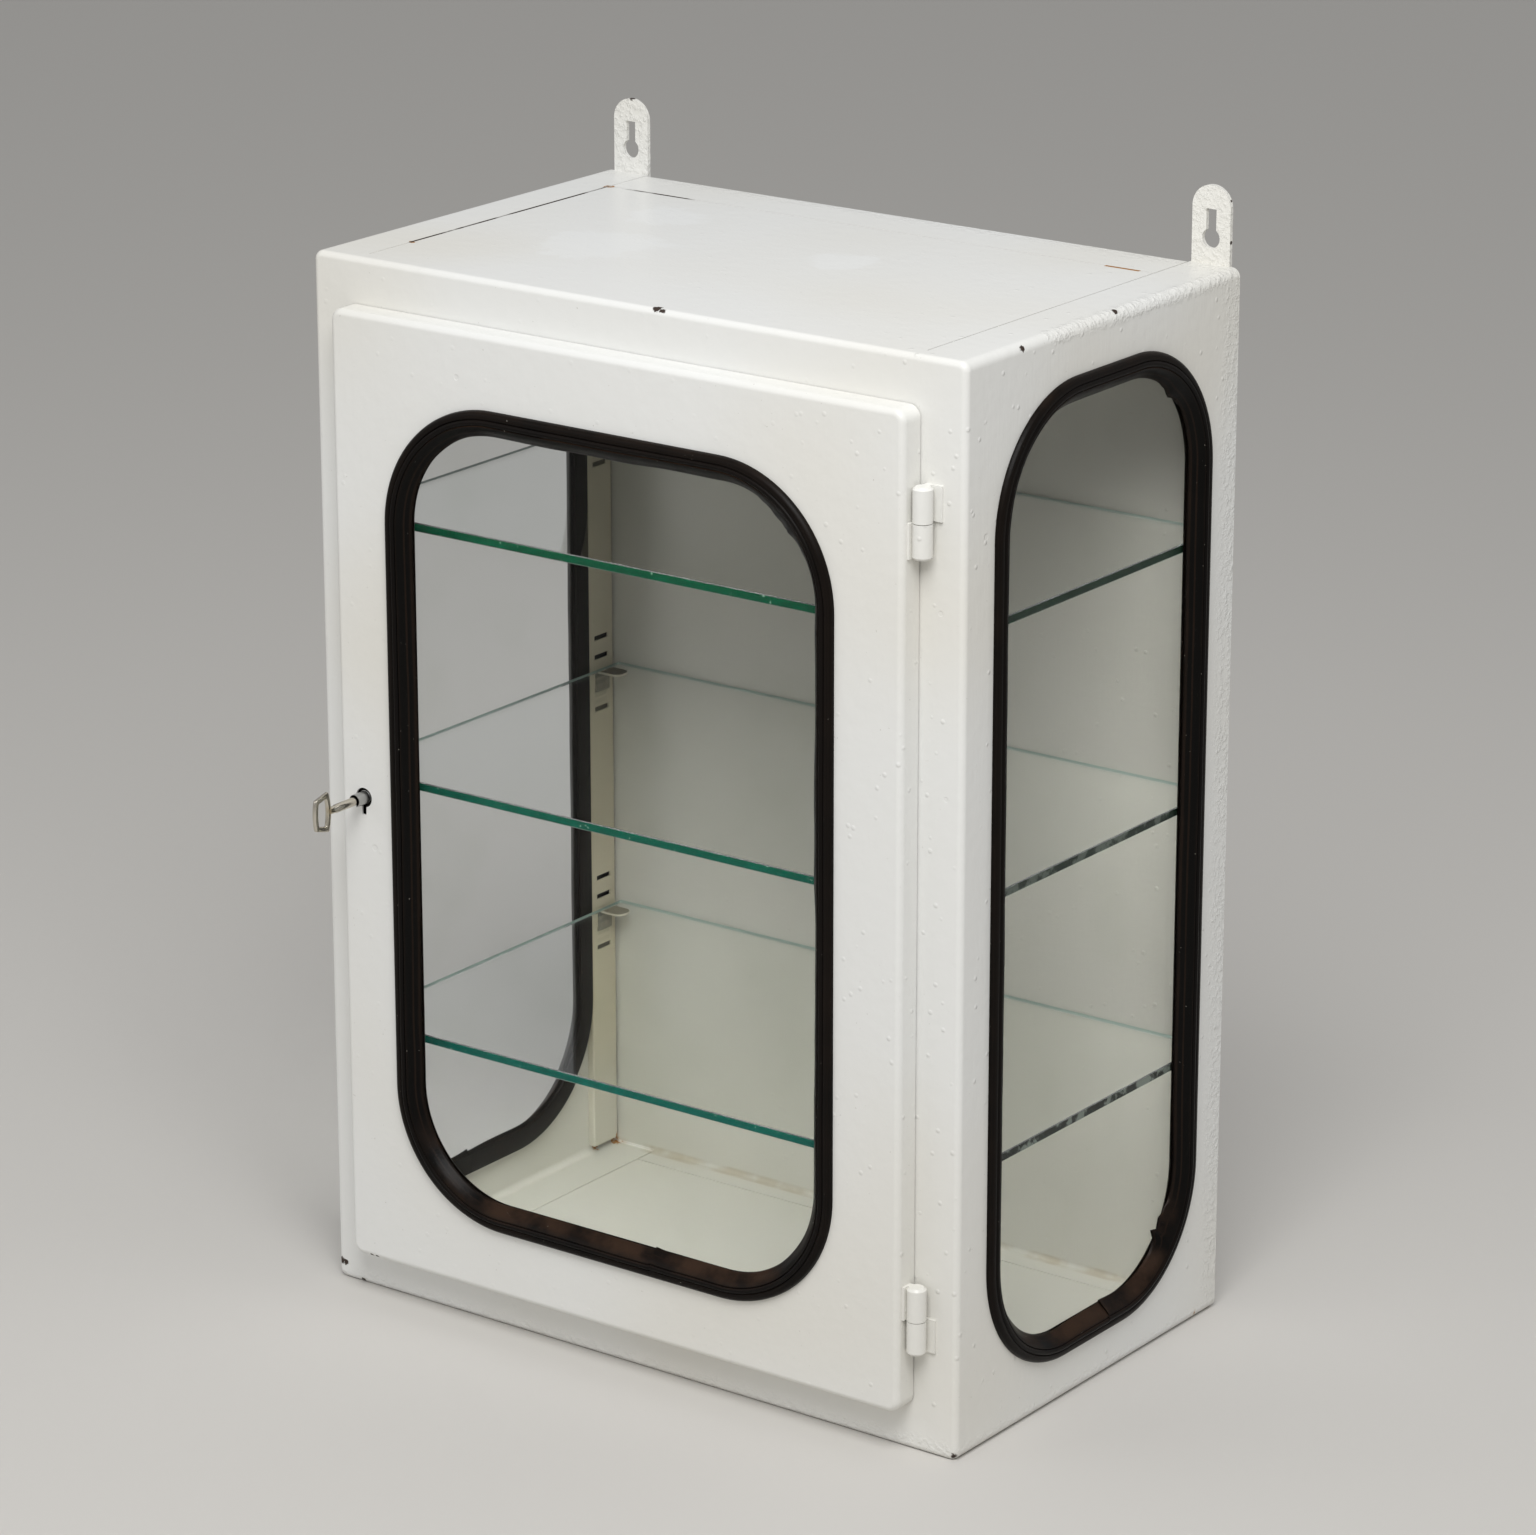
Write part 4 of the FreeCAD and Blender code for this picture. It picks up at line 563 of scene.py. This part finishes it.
def worn_key():
    """The key, softer than new: a pipe shank with its bit, a waist, and a flat bow filed round at its edges."""
    low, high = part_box("key")
    x = (low[0] + high[0]) / 2
    z = (low[2] + high[2]) / 2
    end, tip = low[1], high[1]
    bow_start = end + 16 * MM
    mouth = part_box("lock_sleeve")[0][1]

    # Bow: a bulging outline, inset to a rim, given its thickness and rounded
    steps = (1, 0.67, 0.33, 0, -0.33, -0.67, -1)
    near = [(bow_start - 2.4 * MM * t * t, 13.5 * MM * t) for t in steps]
    far = [(end + 1.2 * MM * t * t, -10.3 * MM * t) for t in steps]
    bpy.ops.object.select_all(action="DESELECT")
    bpy.ops.mesh.primitive_circle_add(vertices=14, fill_type="NGON")
    bow = bpy.context.object
    for corner, (along, out) in zip(bow.data.vertices, near + far):
        corner.co = (x, along, z + out)
    bpy.ops.object.mode_set(mode="EDIT")
    bpy.ops.mesh.select_all(action="SELECT")
    bpy.ops.mesh.inset(thickness=3.4 * MM)
    bpy.ops.mesh.delete(type="FACE")
    bpy.ops.object.mode_set(mode="OBJECT")
    plate = bow.modifiers.new("plate", "SOLIDIFY")
    plate.thickness = 2.8 * MM
    plate.offset = 0
    bpy.ops.object.modifier_apply(modifier="plate")
    filed = bow.modifiers.new("filed", "BEVEL")
    filed.width = 0.8 * MM
    filed.segments = 3
    filed.limit_method = "ANGLE"
    filed.angle_limit = math.radians(50)
    bpy.ops.object.modifier_apply(modifier="filed")

    # Bit: a small block under the pipe end, its edges broken
    bpy.ops.object.select_all(action="DESELECT")
    bpy.ops.mesh.primitive_cube_add(
        size=1, location=(x, tip - 3.45 * MM, z - 5.5 * MM), scale=(2.2 * MM, 5.5 * MM, 7 * MM))
    bit = bpy.context.object
    bpy.ops.object.transform_apply(location=True, rotation=True, scale=True)
    bpy.ops.object.mode_set(mode="EDIT")
    bpy.ops.mesh.select_all(action="SELECT")
    bpy.ops.mesh.bevel(offset=0.3 * MM, segments=2)
    bpy.ops.object.mode_set(mode="OBJECT")

    # Shank: from the bottom of its bore to its tip, back through the sleeve, and out to a waist at the bow
    turned = [
        (1.7, tip - 9.3 * MM), (1.7, tip), (2.3, tip), (2.5, tip - 0.2 * MM), (2.5, mouth - 0.9 * MM),
        (2.85, mouth - 1.2 * MM), (2.85, bow_start + 5.5 * MM), (2.4, bow_start + 4.5 * MM),
        (2.4, bow_start - 1.5 * MM),
    ]
    bpy.ops.object.select_all(action="DESELECT")
    bpy.ops.mesh.primitive_circle_add(
        vertices=32, radius=turned[0][0] * MM, location=(x, turned[0][1], z), rotation=(math.pi / 2, 0, 0))
    key = bpy.context.object
    key.name = "key_worn"
    key.data.name = "key_worn"
    bpy.ops.object.transform_apply(location=True, rotation=True, scale=True)
    bpy.ops.object.mode_set(mode="EDIT")
    bpy.ops.mesh.select_all(action="SELECT")
    for (radius, along), (next_radius, next_along) in zip(turned, turned[1:]):
        bpy.ops.mesh.extrude_region_move(TRANSFORM_OT_translate={"value": (0, next_along - along, 0)})
        grow = next_radius / radius
        bpy.ops.transform.resize(value=(grow, 1, grow), center_override=(x, next_along, z))
    bpy.ops.mesh.select_all(action="SELECT")
    bpy.ops.mesh.fill_holes(sides=0)
    bpy.ops.mesh.normals_make_consistent(inside=False)
    bpy.ops.object.mode_set(mode="OBJECT")
    for part in (bow, bit):
        join = key.modifiers.new("join", "BOOLEAN")
        join.operation = "UNION"
        join.solver = "EXACT"
        join.object = part
        bpy.ops.object.modifier_apply(modifier="join")
        bpy.data.objects.remove(part)
    bpy.ops.object.shade_smooth_by_angle(angle=math.radians(35))
    key.data.materials.clear()
    key.data.materials.append(finishes["key_nickel"])
    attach(key, "key")
    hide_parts("key")


worn_key()

# Plain pale floor
bpy.ops.object.select_all(action="DESELECT")
bpy.ops.mesh.primitive_plane_add(size=60)
floor = bpy.context.object
floor.name = "floor"
floor_paint, _, floor_shader, _ = new_material("matt pale floor")
floor_shader.inputs["Base Color"].default_value = srgb("#CECBC6")
floor_shader.inputs["Roughness"].default_value = 0.9
floor.data.materials.append(floor_paint)

# Soft studio light: even sky, one large lamp high on the right and a weak one from the left
world = bpy.data.worlds.new("studio")
bpy.context.scene.world = world
world.use_nodes = True
world.node_tree.nodes["Background"].inputs["Color"].default_value = srgb("#EBECED")
world.node_tree.nodes["Background"].inputs["Strength"].default_value = 0.5


def softbox(name, where, toward, size, power):
    """A square lamp that looks at a point."""
    bpy.ops.object.select_all(action="DESELECT")
    bpy.ops.object.light_add(type="AREA", location=where)
    lamp = bpy.context.object
    lamp.name = name
    lamp.data.size = size
    lamp.data.energy = power
    lamp.rotation_euler = (Vector(toward) - Vector(where)).to_track_quat("-Z", "Y").to_euler()


softbox("key_softbox", (1.0, -1.4, 2.5), (0, 0, 0.35), 1.5, 56)
softbox("fill_softbox", (-2.4, -2.6, 1.8), (0, 0, 0.35), 2.0, 10)

# Camera at the photograph's place
right = Vector((0.80541, 0.59272, -0.00087))
up = Vector((-0.18295, 0.25000, 0.95080))
forward = Vector((-0.56377, 0.76563, -0.30980))
camera_data = bpy.data.cameras.new("camera")
camera_data.lens = 134.79
camera_data.sensor_width = 36.0
camera_data.sensor_fit = "HORIZONTAL"
camera = bpy.data.objects.new("camera", camera_data)
bpy.context.scene.collection.objects.link(camera)
turned = Matrix((right, up, -forward)).transposed().to_4x4()
camera.matrix_world = Matrix.Translation((2.08509, -2.83764, 1.51250)) @ turned
bpy.context.scene.camera = camera
bpy.context.scene.view_settings.view_transform = "Standard"
